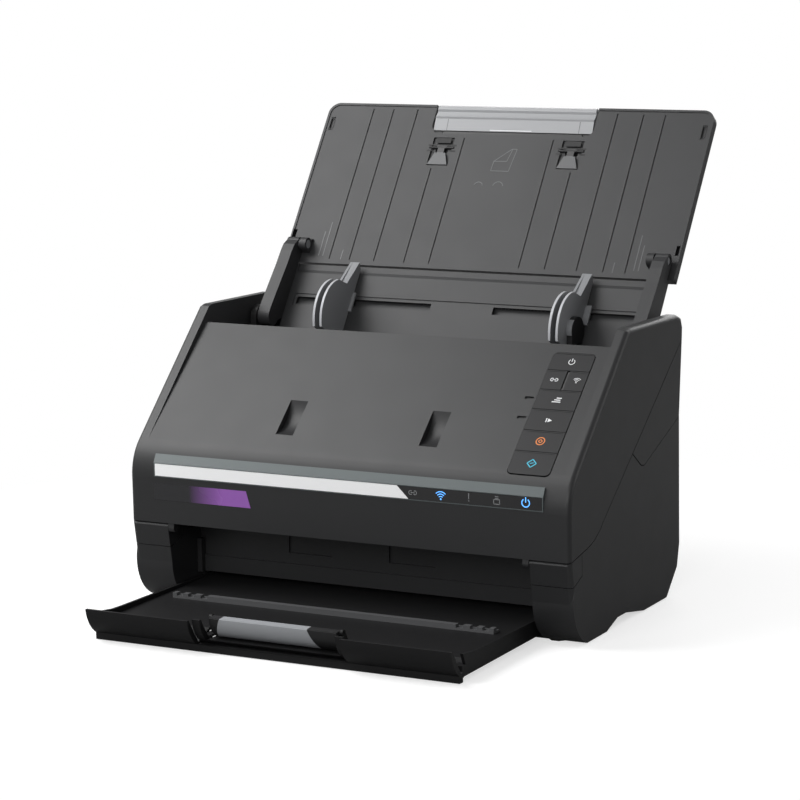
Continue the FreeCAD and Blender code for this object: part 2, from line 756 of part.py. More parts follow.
def tyre(radius, x0, x1, centre):
    """Rubber tyre bored for its shaft."""
    return rod_x(radius, x0, x1, centre).cut(rod_x(shaft_radius, x0 - 1, x1 + 1, centre))


def pickup_tyres():
    return both_sides(tyre(pickup_radius, 4.0, 22.0, pickup_centre))


def pair_of_tyres(radius, centre):
    return both_sides(tyre(radius, 36.0, 54.0, centre))


def retard_roller():
    """Separation roller in the cover, on its own short shaft."""
    roller = rod_x(retard_radius, -13.4, 13.4, retard_centre)
    return solid_of(join(roller, rod_x(idler_shaft, -18.6, 18.6, retard_centre)))


def idler_pair(radius, centre):
    """Two free rollers on one thin shaft."""
    rollers = [rod_x(radius, side * 45 - 6, side * 45 + 6, centre) for side in (-1, 1)]
    return solid_of(join(rod_x(idler_shaft, -56.6, 56.6, centre), *rollers))


def pitch_radius(teeth, module=gear_module):
    return teeth * module / 2


def meet(a, reach_a, b, reach_b, side):
    """Point at given distances from two centres, on the chosen side of the line between them."""
    gap = math.hypot(b[0] - a[0], b[1] - a[1])
    run = (reach_a ** 2 - reach_b ** 2 + gap ** 2) / (2 * gap)
    rise = math.sqrt(max(reach_a ** 2 - run ** 2, 0.0)) * side
    uy, uz = (b[0] - a[0]) / gap, (b[1] - a[1]) / gap
    return a[0] + uy * run - uz * rise, a[1] + uz * run + uy * rise


def heading(a, b):
    return math.atan2(b[1] - a[1], b[0] - a[0])


def mesh_phase(phase, teeth, angle, next_teeth):
    """Tooth angle of the next gear so that its teeth fall between the first gear's teeth."""
    share = ((angle - phase) * teeth / (2 * math.pi)) % 1.0
    return angle + math.pi + (share - 0.5) * 2 * math.pi / next_teeth


def tooth_loop(teeth, module, phase):
    """Corner points of a gear outline as (angle-wise) y, z offsets."""
    pitch = pitch_radius(teeth, module)
    root, tip = pitch - 1.2 * module, pitch + 0.85 * module
    step = 2 * math.pi / teeth
    points = []
    for index in range(teeth):
        middle = phase + index * step
        for radius, share in ((root, -0.31), (tip, -0.12), (tip, 0.12), (root, 0.31)):
            angle = middle + share * step
            points.append((radius * math.cos(angle), radius * math.sin(angle)))
    return points


def gear(teeth, centre, phase, bore, x=gear_x, width=gear_width):
    """Spur gear along X with a bore for its shaft."""
    points = [(centre[0] + y, centre[1] + z) for y, z in tooth_loop(teeth, gear_module, phase)]
    wheel = prism(points, x, x + width)
    return wheel.cut(rod_x(bore, x - 1, x + width + 1, centre))


feed_to_eject = meet(feed_centre, pitch_radius(feed_teeth + eject_idler_teeth), eject_centre,
                     pitch_radius(eject_teeth + eject_idler_teeth), 1)
feed_to_pickup = meet(feed_centre, pitch_radius(feed_teeth + pickup_idler_teeth), pickup_centre,
                      pitch_radius(pickup_teeth + pickup_idler_teeth), 1)
motor_centre = along(feed_centre, -50.0, pitch_radius(feed_teeth + motor_teeth))
idler_stud = 2.0
feed_phase = 0.0


def chained_gear(from_centre, from_teeth, from_phase, centre, teeth, bore):
    """Gear in mesh with the one before it, and the phase of its own teeth."""
    phase = mesh_phase(from_phase, from_teeth, heading(from_centre, centre), teeth)
    return gear(teeth, centre, phase, bore), phase


def drive_gears():
    """All six gears of the roller drive, keyed by the node that each one becomes."""
    gears = {"feed_gear": gear(feed_teeth, feed_centre, feed_phase, shaft_radius)}
    gears["eject_idler_gear"], phase = chained_gear(feed_centre, feed_teeth, feed_phase, feed_to_eject,
                                                    eject_idler_teeth, idler_stud + running)
    gears["eject_gear"] = chained_gear(feed_to_eject, eject_idler_teeth, phase, eject_centre,
                                       eject_teeth, shaft_radius)[0]
    gears["pickup_idler_gear"], phase = chained_gear(feed_centre, feed_teeth, feed_phase,
                                                     feed_to_pickup, pickup_idler_teeth,
                                                     idler_stud + running)
    gears["pickup_gear"] = chained_gear(feed_to_pickup, pickup_idler_teeth, phase, pickup_centre,
                                        pickup_teeth, shaft_radius)[0]
    pinion = chained_gear(feed_centre, feed_teeth, feed_phase, motor_centre, motor_teeth, motor_shaft)[0]
    stub = rod_x(motor_shaft, frame_x - 1.0, gear_x + gear_width + 1, motor_centre)
    gears["motor_pinion"] = join(pinion, stub)
    return gears


def idler_studs():
    """Turned studs of the right side frame for the two idler gears."""
    studs = []
    for centre in (feed_to_eject, feed_to_pickup):
        collar = rod_x(idler_stud + 1.0, frame_x + 0.2, gear_x - 0.3, centre)
        studs.append(join(rod_x(idler_stud, frame_x + 0.2, gear_x + gear_width + 1, centre), collar))
    return studs


motor_radius = 13.0
motor_bevel = 3.0
motor_length = 28.0
motor_boss = 3.0
motor_shaft = 1.5


def drive_motor():
    """Square stepper motor on the inside of the right side frame."""
    flat, cut = motor_radius, motor_radius - motor_bevel
    corners = [(flat, -cut), (flat, cut), (cut, flat), (-cut, flat), (-flat, cut), (-flat, -cut),
               (-cut, -flat), (cut, -flat)]
    can = prism([(motor_centre[0] + y, motor_centre[1] + z) for y, z in corners],
                frame_x - motor_length, frame_x - 1.6)
    flange = prism([along(motor_centre, angle, 19.0) for angle in (35, 145, 215, 325)],
                   frame_x - 1.6, frame_x)
    hole = rod_x(motor_shaft + running, frame_x - 3, frame_x + 1, motor_centre)
    return solid_of(join(can, flange).cut(hole))


def main_board():
    """Control board on the ceiling of the tray room, with its chips, coils and stands."""
    z = tray_room_top + 2.2
    stands = [box(x - 2, x + 2, y - 2, y + 2, z, z + 4.0) for x in (-98, 60) for y in (8, 60)]
    board = box(-104, 66, 2, 66, z + 4.0, z + 5.6)
    chips = [box(-60, -42, 24, 42, z + 5.6, z + 7.4), box(-20, -6, 20, 34, z + 5.6, z + 7.0),
             box(20, 30, 30, 52, z + 5.6, z + 9.0)]
    cans = [box(x - 3.5, x + 3.5, 8.5, 15.5, z + 5.6, z + 14.6) for x in (-88, -76, 44)]
    return solid_of(join(board, *(stands + chips + cans)))


def key_shape(left, right, low, high, corners):
    """One key: a cap with rounded outer corners, a raised line and a square plunger."""
    cap = plate(left, right, low, high, -2.2, key_proud)
    if corners:
        cap = upright_edges(cap, key_corner, corners)
    lips = [box(left + 1.8, right - 1.8, high - 0.9, high - 0.4, key_proud - 0.1, key_proud + 0.15)]
    x, s = (left + right) / 2, (low + high) / 2
    plunger = box(x - 1.8, x + 1.8, s - 1.8, s + 1.8, -6.0, -1.8)
    return placed(join(cap, plunger, *lips), slope_frame)


def keys():
    """The seven keys of the control column, keyed by node name."""
    names = ("power_key", None, "feed_speed_key", "automatic_feed_key", "stop_key", "start_key")
    found = {}
    for row, name in enumerate(names):
        high = key_rows[row] - key_gap / 2
        low = key_rows[row + 1] + key_gap / 2
        if name is None:
            found["link_key"] = key_shape(key_left, key_split - 0.9, low, high, None)
            found["wireless_key"] = key_shape(key_split + 0.9, key_right, low, high, None)
            continue
        corners = None
        if row == 0:
            corners = lambda x, s: s > (key_rows[0] + key_rows[1]) / 2
        elif row == len(names) - 1:
            corners = lambda x, s: s < (key_rows[-2] + key_rows[-1]) / 2
        found[name] = key_shape(key_left, key_right, low, high, corners)
    return found


def panel_board():
    """Switch board behind the keys, on posts from the cover's panel."""
    board = box(key_left - 5.7, key_right + 5.5, -97.0, -10.0, -9.2, -7.6)
    posts = [box(x - 1.5, x + 1.5, s - 1.5, s + 1.5, -7.6, -panel_skin)
             for x in (key_left - 3.7, key_right + 3.5) for s in (-90.5, -14.0)]
    divider = box(key_split - 0.55, key_split + 0.55, key_rows[2] + 0.6, key_rows[1] - 0.6, -7.6, -0.2)
    return placed(solid_of(join(board, divider, *posts)), slope_frame)


window_low = 81.7
window_high = 89.1


def status_bezel():
    """Grey bevelled strip along the knee of the cover."""
    strip = prism(strip_section(), strip_left, strip_right)
    pocket = box(strip_left + 0.8, strip_right - 0.8, strip_face - 1, strip_face + 0.5,
                 window_low - 0.1, window_high + 0.1)
    return solid_of(strip.cut(pocket))


def slanted_plate(left_low, left_high, right_low, right_high, z0, z1, y0, y1):
    """Thin upright plate in the XZ plane with slanting ends."""
    points = [V(left_low, y0, z0), V(right_low, y0, z0), V(right_high, y0, z1), V(left_high, y0, z1)]
    face = Part.Face(Part.makePolygon(points + [points[0]]))
    return face.extrude(V(0, y1 - y0, 0))


def name_plate():
    """Bare bright plate in the left part of the strip."""
    return slanted_plate(strip_left + 0.9, strip_left + 0.9, window_slant_low, window_slant_high,
                         window_low, window_high, strip_face - 0.15, strip_face + 0.5)


def status_window():
    """Dark window over the status lamps in the right part of the strip."""
    return slanted_plate(window_slant_low + 0.15, window_slant_high + 0.15, strip_right - 0.9,
                         strip_right - 0.9, window_low, window_high, strip_face - 0.15,
                         strip_face + 0.5)


rack_slot = (-29.6, -24.4)


def input_tray_bed():
    """Tilted bed between the arms, slotted for the edge guides, with a stepped top edge."""
    top = -0.5
    bed = box(-bed_half, bed_half, -bed_length, top, -bed_skin, 0)
    step = box(-bed_half + 0.8, bed_half - 0.8, -4.6, top + 1, -0.9, 1)
    bevel = placed(box(-bed_half + 0.8, bed_half - 0.8, 0, 6, -3, 0),
                   FreeCAD.Placement(V(0, -4.6, -0.9), FreeCAD.Rotation(V(1, 0, 0), 160)))
    band = box(-bed_half + 4.5, bed_half - 4.5, -31.2, -22.2, -0.6, 1)
    slot = box(22.0, bed_half - 6.5, rack_slot[0], rack_slot[1], -5, 1)
    slots = [slot, mirror(slot)]
    walls = [box(x0, x1, -38.0, -3.0, -rack_room, -bed_skin)
             for x0, x1 in ((-bed_half, -bed_half + 1.6), (bed_half - 1.6, bed_half))]
    walls.append(box(-bed_half, bed_half, -38.0, -36.4, -rack_room, -bed_skin))
    walls.append(box(-bed_half, bed_half, -4.6, -3.0, -rack_room, -bed_skin))
    bed = bed.fuse(walls).cut([step, bevel, band] + slots)
    return placed(solid_of(bed.removeSplitter()), tray_frame)


rack_room = bed_skin + slide_gap + rack_depth + slide_gap


def tray_rear_cover():
    """Thin cover over the rack room on the back of the bed, with the pinion's stud."""
    low = -rack_room - 1.2
    sheet = box(-bed_half, bed_half, -38.0, -3.0, low, -rack_room)
    stud = Part.makeCylinder(1.5, rack_room - bed_skin + 0.2, V(0, rack_line_s, -rack_room - 0.2))
    ribs = [box(x - 0.8, x + 0.8, -35.0, -6.0, low - 0.5, low) for x in (-90, -30, 30, 90)]
    return placed(solid_of(join(sheet, stud, *ribs)), tray_frame)


def guide_pinion():
    """Small pinion that ties the two edge guides together."""
    points = [V(x, s + rack_line_s, -rack_room + slide_gap)
              for x, s in tooth_loop(pinion_teeth, rack_module, math.pi / 2)]
    face = Part.Face(Part.makePolygon(points + [points[0]]))
    wheel = face.extrude(V(0, 0, rack_depth))
    bore = Part.makeCylinder(1.5 + running, 10, V(0, rack_line_s, -rack_room - 1))
    return placed(wheel.cut(bore), tray_frame)


def rack_outline(left, right):
    """Rack along x above the pinion, teeth towards it, as (x, s) points."""
    pitch = math.pi * rack_module
    line = rack_line_s + pitch_radius(pinion_teeth, rack_module)
    tip, root = line - 0.85 * rack_module, line + 1.2 * rack_module
    back = root + rack_height
    points = [(right, back), (left, back), (left, root)]
    first = math.ceil((left + 1.2) / pitch - 0.5)
    count = int((rack_toothed - 2.4) / pitch)
    for index in range(count):
        middle = (first + index + 0.5) * pitch
        for shift, s in ((-0.31, root), (-0.12, tip), (0.12, tip), (0.31, root)):
            points.append((middle + shift * pitch, s))
    points.append((right, root))
    return points


def guide_profile():
    """Side outline of an edge guide's fin in the section plane of the body."""
    foot = along((split_y, split_z), tray_tilt, -47.0, slide_gap + 0.2)
    top = along((split_y, split_z), tray_tilt, -3.6, slide_gap + 0.2)
    return [(foot[0] - 14.0, foot[1] - 1.5), (36.4, 159.0), (42.4, 178.0, 60.4, 186.0), (70.4, 182.2),
            (88.0, 193.6), top, foot]


def guide_block(x0, x1):
    """Sloped block between the fins of an edge guide, flush with them at the top."""
    foot = along((split_y, split_z), tray_tilt, -40.0, slide_gap + 0.2)
    top = along((split_y, split_z), tray_tilt, -3.6, slide_gap + 0.2)
    return prism([(66.0, 176.0), (71.5, 181.6), (88.0, 193.6), top, foot, (60.0, 165.0)], x0, x1)


def guide_slide(inner, outer):
    """What joins a guide to its rack: the neck through the slot, a shelf and the rack itself."""
    bottom = -rack_room + slide_gap
    back = rack_line_s + pitch_radius(pinion_teeth, rack_module) + 1.2 * rack_module + rack_height
    neck_low, neck_high = rack_slot[1] - 2.4, rack_slot[1] - 0.3
    neck = box(inner, outer, neck_low, neck_high, bottom, slide_gap + 0.5)
    shelf = box(inner, outer, neck_low, back, bottom, bottom + rack_depth)
    points = [V(x, s, bottom) for x, s in rack_outline(outer - rack_reach, outer)]
    rack = Part.Face(Part.makePolygon(points + [points[0]])).extrude(V(0, 0, rack_depth))
    return join(neck, shelf, rack)


def edge_guide(side):
    """Edge guide with two fins, a block, a sliding foot and a rack. The left one is the mirror
    image of the right one, but its rack is turned half round, to the other side of the pinion."""
    inner, outer = guide_x, guide_x + guide_width
    fins = [prism(guide_profile(), inner, inner + fin_skin),
            prism(guide_profile(), outer - fin_skin, outer)]
    sole = placed(box(inner - 2.0, outer + 4.0, -34.0, -20.5, slide_gap, 1.6), tray_frame)
    body = join(guide_block(inner, outer), sole, thumb_piece(), *fins)
    slide = guide_slide(inner, outer)
    if side < 0:
        body = mirror(body)
        slide.rotate(V(0, rack_line_s, 0), V(0, 0, 1), 180)
    return solid_of(join(body, placed(slide, tray_frame)))


def thumb_piece():
    """Rounded thumb piece on the outer face of an edge guide."""
    x0 = guide_x + guide_width
    return prism([(49.0, 155.0), (49.5, 160.0), (54.0, 170.0, 61.0, 167.5), (66.5, 159.0),
                  (63.5, 154.5)], x0 - 0.1, x0 + 3.4)


pivot_boss = 6.2


def arm_outline():
    """Side outline of a tray arm in the tray's own plane; four numbers are an arc by its middle."""
    r, slant = pivot_boss, pivot_boss * math.sqrt(0.5)
    return [(pivot_s - r, pivot_t),
            (pivot_s - slant, pivot_t - slant, pivot_s, pivot_t - r),
            (pivot_s + 6.0, -bed_skin), (-0.5, -bed_skin), (-0.5, 0.5), (fold_s - 2.0, 0.55),
            (fold_s + 2.9, fold_t - 2.9, fold_s + 4.1, fold_t),
            (fold_s + 3.2, fold_t + 3.0, fold_s + 0.5, fold_t + 4.1),
            (fold_s - 4.0, 11.6), (fold_s - 9.0, 12.4), (-8.0, 13.0), (pivot_s + 4.0, pivot_t + r),
            (pivot_s, pivot_t + r),
            (pivot_s - slant, pivot_t + slant, pivot_s - r, pivot_t)]


def tray_arm(side):
    """Side arm with its pivot bore below and its fold bore above, hollowed from the inside."""
    arm = prism(arm_outline(), arm_inner, arm_outer)
    hollow = box(arm_inner + 2.0, arm_outer - 1.8, pivot_s + 12.0, -10.0, -bed_skin - 1, 10.5)
    bores = [rod_x(pivot_pin_radius + running, arm_inner + 1.0, arm_outer + 1.0, (pivot_s, pivot_t)),
             rod_x(fold_pin_radius + running, arm_inner - 1.0, arm_outer + 1.0, (fold_s, fold_t))]
    arm = placed(solid_of(arm.cut([hollow] + bores)), tray_frame)
    return arm if side > 0 else mirror(arm)


fold_pin_radius = 2.8
ear_disc = 4.3
ear_inner = bed_half - 5.9
ear_outer = bed_half - 1.1


def panel_fold_pins():
    """Light pins that join the panel's ears to the arms and show between them."""
    pin = Part.makeCylinder(fold_pin_radius, arm_outer - ear_inner - 1.0, V(ear_inner, fold_s, fold_t),
                            V(1, 0, 0))
    return both_sides(placed(pin, tray_frame))


groove_lines = ((32.0, 97.5), (72.0, 118.0), (90.0, 118.0), (105.0, 118.0), (50.0, 74.0))
handle_half = 57.0
tongue_half = 50.0
handle_foot = 103.5
recess_foot = 100.6
tab_x = 46.5
tab_foot = 76.8
tab_top = 85.6
tab_axis_s = 89.8


def input_panel():
    """Large folding panel: rim, sheet grooves, handle recess, tab windows and fold ears."""
    low, high = 0.6, panel_length
    sheet = upright_edges(box(-panel_half, panel_half, low, high, -panel_depth + 1.3, 0), 8.0,
                          lambda x, s: s > high - 1)
    sheet = upright_edges(sheet, 2.0, lambda x, s: s < low + 1)
    hollow = upright_edges(box(-panel_half + 2.0, panel_half - 2.0, low + 2.0, high - 2.0,
                               -panel_depth - 1, -plate_skin), 6.5, lambda x, s: s > high - 3)
    sheet = sheet.cut(hollow)
    ledge = box(-handle_half - 3.0, handle_half + 3.0, recess_foot - 3.0, high - 0.5,
                -panel_depth + 1.3, -plate_skin)
    sheet = sheet.fuse(ledge)
    channel = box(-tongue_half - nest_gap, tongue_half + nest_gap, 15.0, high + 1,
                  -panel_depth, -plate_skin)
    bevel_room = upright_edges(box(-handle_half - 1.2, handle_half + 1.2, recess_foot, high + 9,
                                   -panel_depth - 1, 1), 6.0, lambda x, s: s < recess_foot + 1)
    cuts = [bevel_room, channel]
    for x, end in groove_lines:
        for side in (-1, 1):
            cuts.append(box(side * x - 0.4, side * x + 0.4, 4.0, end, -0.6, 1))
    for side in (-1, 1):
        cuts.append(box(side * tab_x - 7.6, side * tab_x + 7.6, tab_foot - 0.4, tab_axis_s + 7.6, -1.2, 1))
        cuts.append(box(side * tab_x - 4.4, side * tab_x + 4.4, tab_top + 1.0, tab_axis_s + 3.4, -4, 1))
        cuts.append(box(side * tab_x - 9.2, side * tab_x + 9.2, tab_axis_s - 0.9, tab_axis_s + 0.9, -1.3, 1))
        rest_x, nick_x = side * (panel_half - 2.3), side * (panel_half - 5.0)
        cuts.append(box(rest_x - 1.3, rest_x + 1.3, 17.8, 24.8, -panel_depth, 1))
        cuts.append(box(nick_x - 1.6, nick_x + 1.6, 101.0, 111.0, -1.0, 1))
    rim = upright_edges(box(-panel_half, panel_half, low, high, 0, 0.5), 8.0,
                        lambda x, s: s > high - 1)
    rim = rim.cut(upright_edges(box(-panel_half + 1.6, panel_half - 1.6, low - 5, high - 1.6, -1, 2), 6.6,
                                lambda x, s: s > high - 3))
    sheet = sheet.fuse(rim).cut(cuts)
    ears = []
    for side in (-1, 1):
        x0 = ear_inner if side > 0 else -ear_outer
        width = ear_outer - ear_inner
        disc = Part.makeCylinder(ear_disc, width, V(x0, fold_s, fold_t), V(1, 0, 0))
        root = prism([(fold_s - ear_disc, -0.5), (fold_s + 6.0, -0.5), (fold_s + 6.0, 0.9),
                      (fold_s + 3.7, 3.2), (fold_s, fold_t), (fold_s - ear_disc, fold_t)],
                     x0, x0 + width)
        bore = Part.makeCylinder(fold_pin_radius, 20, V(x0 - 5, fold_s, fold_t), V(1, 0, 0))
        ears.append(disc.fuse(root).cut(bore))
    return placed(solid_of(sheet.fuse(ears).removeSplitter()), tray_frame)


def panel_back_cover():
    """Smooth back of the folding panel with two sunken fields."""
    low, high = 0.6, panel_length
    back = upright_edges(box(-panel_half, panel_half, low, high, -panel_depth, -panel_depth + 1.2), 8.0,
                         lambda x, s: s > high - 1)
    notch = upright_edges(box(-handle_half - 1.2, handle_half + 1.2, recess_foot, high + 9,
                              -panel_depth - 1, 1), 6.0, lambda x, s: s < recess_foot + 1)
    fields = [box(x0, x1, 12.0, 92.0, -panel_depth - 1, -panel_depth + 0.4)
              for x0, x1 in ((-panel_half + 10.6, -6.0), (6.0, panel_half - 10.6))]
    return placed(solid_of(back.cut([notch] + fields)), tray_frame)


def tray_extension():
    """Sliding extension with its stepped light handle at the top of the panel."""
    top, bottom = -plate_skin - slide_gap, -panel_depth + 1.2 + slide_gap
    tongue = box(-tongue_half, tongue_half, 22.0, handle_foot + 4, bottom, top)
    bar = prism([(handle_foot, bottom), (handle_foot, -1.4), (111.6, 0.2), (112.6, 0.9),
                 (113.6, 0.2), (117.2, -0.4), (118.4, 0.6), (120.6, 0.9), (121.6, 0.0),
                 (121.6, bottom)], -handle_half, handle_half)
    return placed(solid_of(join(tongue, bar)), tray_frame)


def flip_tab(side):
    """Small flip-up support with a flared face and a pin lying in the panel's cradle."""
    x = side * tab_x
    points = [V(x - 7.2, tab_foot, -0.9), V(x + 7.2, tab_foot, -0.9), V(x + 3.8, tab_top, -0.9),
              V(x - 3.8, tab_top, -0.9)]
    flare = Part.Face(Part.makePolygon(points + [points[0]])).extrude(V(0, 0, 1.5))
    neck = box(x - 2.4, x + 2.4, tab_top - 1, tab_axis_s, -0.7, 0.4)
    pin = Part.makeCylinder(0.8, 17.6, V(x - 8.8, tab_axis_s, -0.3), V(1, 0, 0))
    tail = box(x - 3.6, x + 3.6, tab_axis_s - 0.6, tab_axis_s + 1.2, -0.9, 0.3)
    return placed(solid_of(join(flare, neck, pin, tail)), tray_frame)


lip_foot_z = 4.6
lip_skin_out = 2.0
extension_low = lip_foot_z + nest_gap + 0.2
ext_skin = 1.4
extension_1_top = tray_deck_z - deck_skin - 0.3
extension_2_top = extension_1_top - ext_skin - 0.3
extension_1_shift = 4.5
stopper_shift = 11.0
extension_2_shift = 15.8
mouth_depth = 20.5


def lip_section(shift, low):
    """Curved section of a tray lip, moved back by shift and cut off at its foot."""
    front, y = tray_front_y + shift, tray_lip_y + shift
    inner = lip_skin_out
    points = [(front, low)]
    if low < lip_foot_z:
        points.append((front, lip_foot_z))
    points += [(front - 6.9, 11.6, y, tray_lip_z), (y + inner, tray_lip_z),
               (front - 4.6 + inner, 11.9, front + inner, max(low, lip_foot_z) + 1.0),
               (front + inner, low)]
    return points


def output_tray():
    """Sliding output tray: curved lip, deck, side rails and the mouth for its extensions."""
    deck_low = tray_deck_z - deck_skin
    rise = tray_front_y + 14.0
    deck = box(-tray_half, tray_half, rise, tray_rear_y, deck_low, tray_deck_z)
    apron = prism([(tray_front_y + 1.0, 3.0), (tray_front_y + 1.0, 5.4), (tray_front_y + 3.0, 6.6),
                   (rise, tray_deck_z), (rise + 2.0, tray_deck_z), (rise + 2.0, deck_low),
                   (rise + 0.6, deck_low), (tray_front_y + 5.0, 4.0), (tray_front_y + 5.0, 3.0)],
                  -tray_half, tray_half)
    lip = prism(lip_section(0.0, 0.5), -tray_half, tray_half)
    strip = box(-tray_half, tray_half, tray_front_y, tray_front_y + 4.0, 0.5, lip_foot_z)
    rails = []
    for side in (-1, 1):
        outer, inner = side * tray_half, side * (tray_half - rail_width)
        rails.append(box(min(outer, inner), max(outer, inner), tray_front_y + 3.0, tray_rear_y,
                         tray_floor_z, deck_low + 0.2))
        start, fin = tray_front_y + 9.0, side * (tray_half - 1.8)
        fence = prism([(start, tray_floor_z + 3), (start - 5.0, 16.6), (start + 8, 14.9), (start + 18, 14.5),
                       (start + 60, 13.8), (tray_rear_y - 2, 12.4), (tray_rear_y - 2, tray_deck_z - 0.5),
                       (start + 9, tray_deck_z - 0.5)], min(outer, fin), max(outer, fin))
        rails.append(fence)
    tray = deck.fuse([apron, lip, strip] + rails)
    half = extension_1_half + nest_gap
    mouth = box(-half, half, -200, tray_front_y + mouth_depth, lip_foot_z + nest_gap, 60)
    tunnel = box(-half, half, tray_front_y - 2, tray_rear_y + 1, lip_foot_z + nest_gap, deck_low)
    return solid_of(tray.cut([mouth, tunnel]).removeSplitter())


def output_extension_1():
    """First slide: a flat sheet behind two outer pieces of lip, open in the middle."""
    front = tray_front_y + extension_1_shift
    sheet = box(-extension_1_half, extension_1_half, front + 1.0, front + 112.0,
                extension_1_top - ext_skin, extension_1_top)
    lip = prism(lip_section(extension_1_shift, extension_low), -extension_1_half, extension_1_half)
    post = box(-extension_1_half, extension_1_half, front + 1.0, front + 4.0, extension_low,
               extension_1_top)
    inner = extension_2_half + nest_gap
    opening = box(-inner, inner, -200, tray_front_y + mouth_depth, 0, 60)
    return solid_of(sheet.fuse([lip, post]).cut(opening).removeSplitter())


def output_extension_2():
    """Second slide: its lip carries two ears for the flip-up stopper, over a low foot."""
    front = tray_front_y + extension_2_shift
    foot_front = tray_front_y + extension_1_shift
    foot = prism(lip_section(extension_1_shift, extension_low), -extension_2_half, extension_2_half)
    foot = foot.common(box(-200, 200, -200, foot_front + 3.0, 0, stopper_sweep))
    apron = box(-extension_2_half, extension_2_half, foot_front + 0.5, front + 1.0,
                extension_2_top - ext_skin, extension_2_top)
    sheet = box(-extension_2_half, extension_2_half, front + 0.5, tray_front_y + 108.0,
                extension_2_top - ext_skin, extension_2_top)
    lip = prism(lip_section(extension_2_shift, extension_2_top - ext_skin), -extension_2_half,
                extension_2_half)
    crown = box(-ear_start, ear_start, -200, -100, stopper_axis[1] - stopper_barrel - 0.4, 60)
    ears = [rod_x(stopper_barrel + 0.5, x0, x0 + ear_thickness, stopper_axis)
            for x0 in (-extension_2_half, ear_start)]
    bore = rod_x(stopper_pin + running, -100, 100, stopper_axis)
    solid = sheet.fuse([lip, foot, apron] + ears)
    return solid_of(solid.cut([crown, bore]).removeSplitter())


stopper_axis = (tray_lip_y + extension_2_shift + 0.2, tray_lip_z - 0.6)
stopper_barrel = 1.3
stopper_sweep = 7.9
stopper_pin = 0.8
ear_thickness = 1.8
ear_start = extension_2_half - ear_thickness
stopper_skin = 1.5


def output_stopper():
    """Light stopper that hangs in front of the lip and flips up about its top edge."""
    front, y = tray_front_y + stopper_shift, tray_lip_y + stopper_shift
    low = 8.6
    blade = prism([(front - 2.7, low), (front - 7.3, 12.6, y - 0.4, tray_lip_z),
                   (y + stopper_skin, tray_lip_z + 0.4),
                   (front - 6.1 + stopper_skin, 12.9, front - 2.9 + stopper_skin, low + 0.4)],
                  -stopper_half, stopper_half)
    barrel = rod_x(stopper_barrel, -stopper_half, stopper_half, stopper_axis)
    bridge = prism([(y + 0.4, tray_lip_z - 1.4), (y + 0.4, tray_lip_z + 0.3),
                    (stopper_axis[0], stopper_axis[1] + stopper_barrel),
                    (stopper_axis[0] - 0.6, stopper_axis[1] - 1.0)], -stopper_half, stopper_half)
    pin = rod_x(stopper_pin, -stopper_half - 1.6, stopper_half + 1.6, stopper_axis)
    return solid_of(join(blade, barrel, bridge, pin))


stopper_half = ear_start - 0.3


rest_front = tray_lip_y + 76.7
rest_depth = 4.0
rest_foot = 3.0
rest_height = 3.2
rest_half = tray_half - 11.7
rest_notches = (22.0, 13.0, 5.0)


def stack_rest():
    """Light grey cross bar on the output deck, notched near its ends."""
    rear = rest_front + rest_depth
    bar = box(-rest_half, rest_half, rest_front, rear, tray_deck_z, tray_deck_z + rest_height)
    foot = box(-rest_half, rest_half, rear, rear + rest_foot, tray_deck_z, tray_deck_z + 1.2)
    notches = []
    for inset in rest_notches:
        x = rest_half - inset
        notch = box(x - 2.2, x + 2.2, rest_front - 1, rear + 0.5, tray_deck_z + 1.4, tray_deck_z + 9)
        notches += [notch, mirror(notch)]
    return solid_of(join(bar, foot).cut(notches))


footprint_middle_y = (tray_lip_y + along((split_y, split_z), tray_tilt, panel_length, -panel_depth)[0]) / 2


def save(name, shape):
    """Write one sub-part, moved so that the footprint's middle is the origin."""
    moved = shape.copy()
    moved.translate(V(0, -footprint_middle_y, 0))
    moved.exportStep("parts/" + name + ".step")


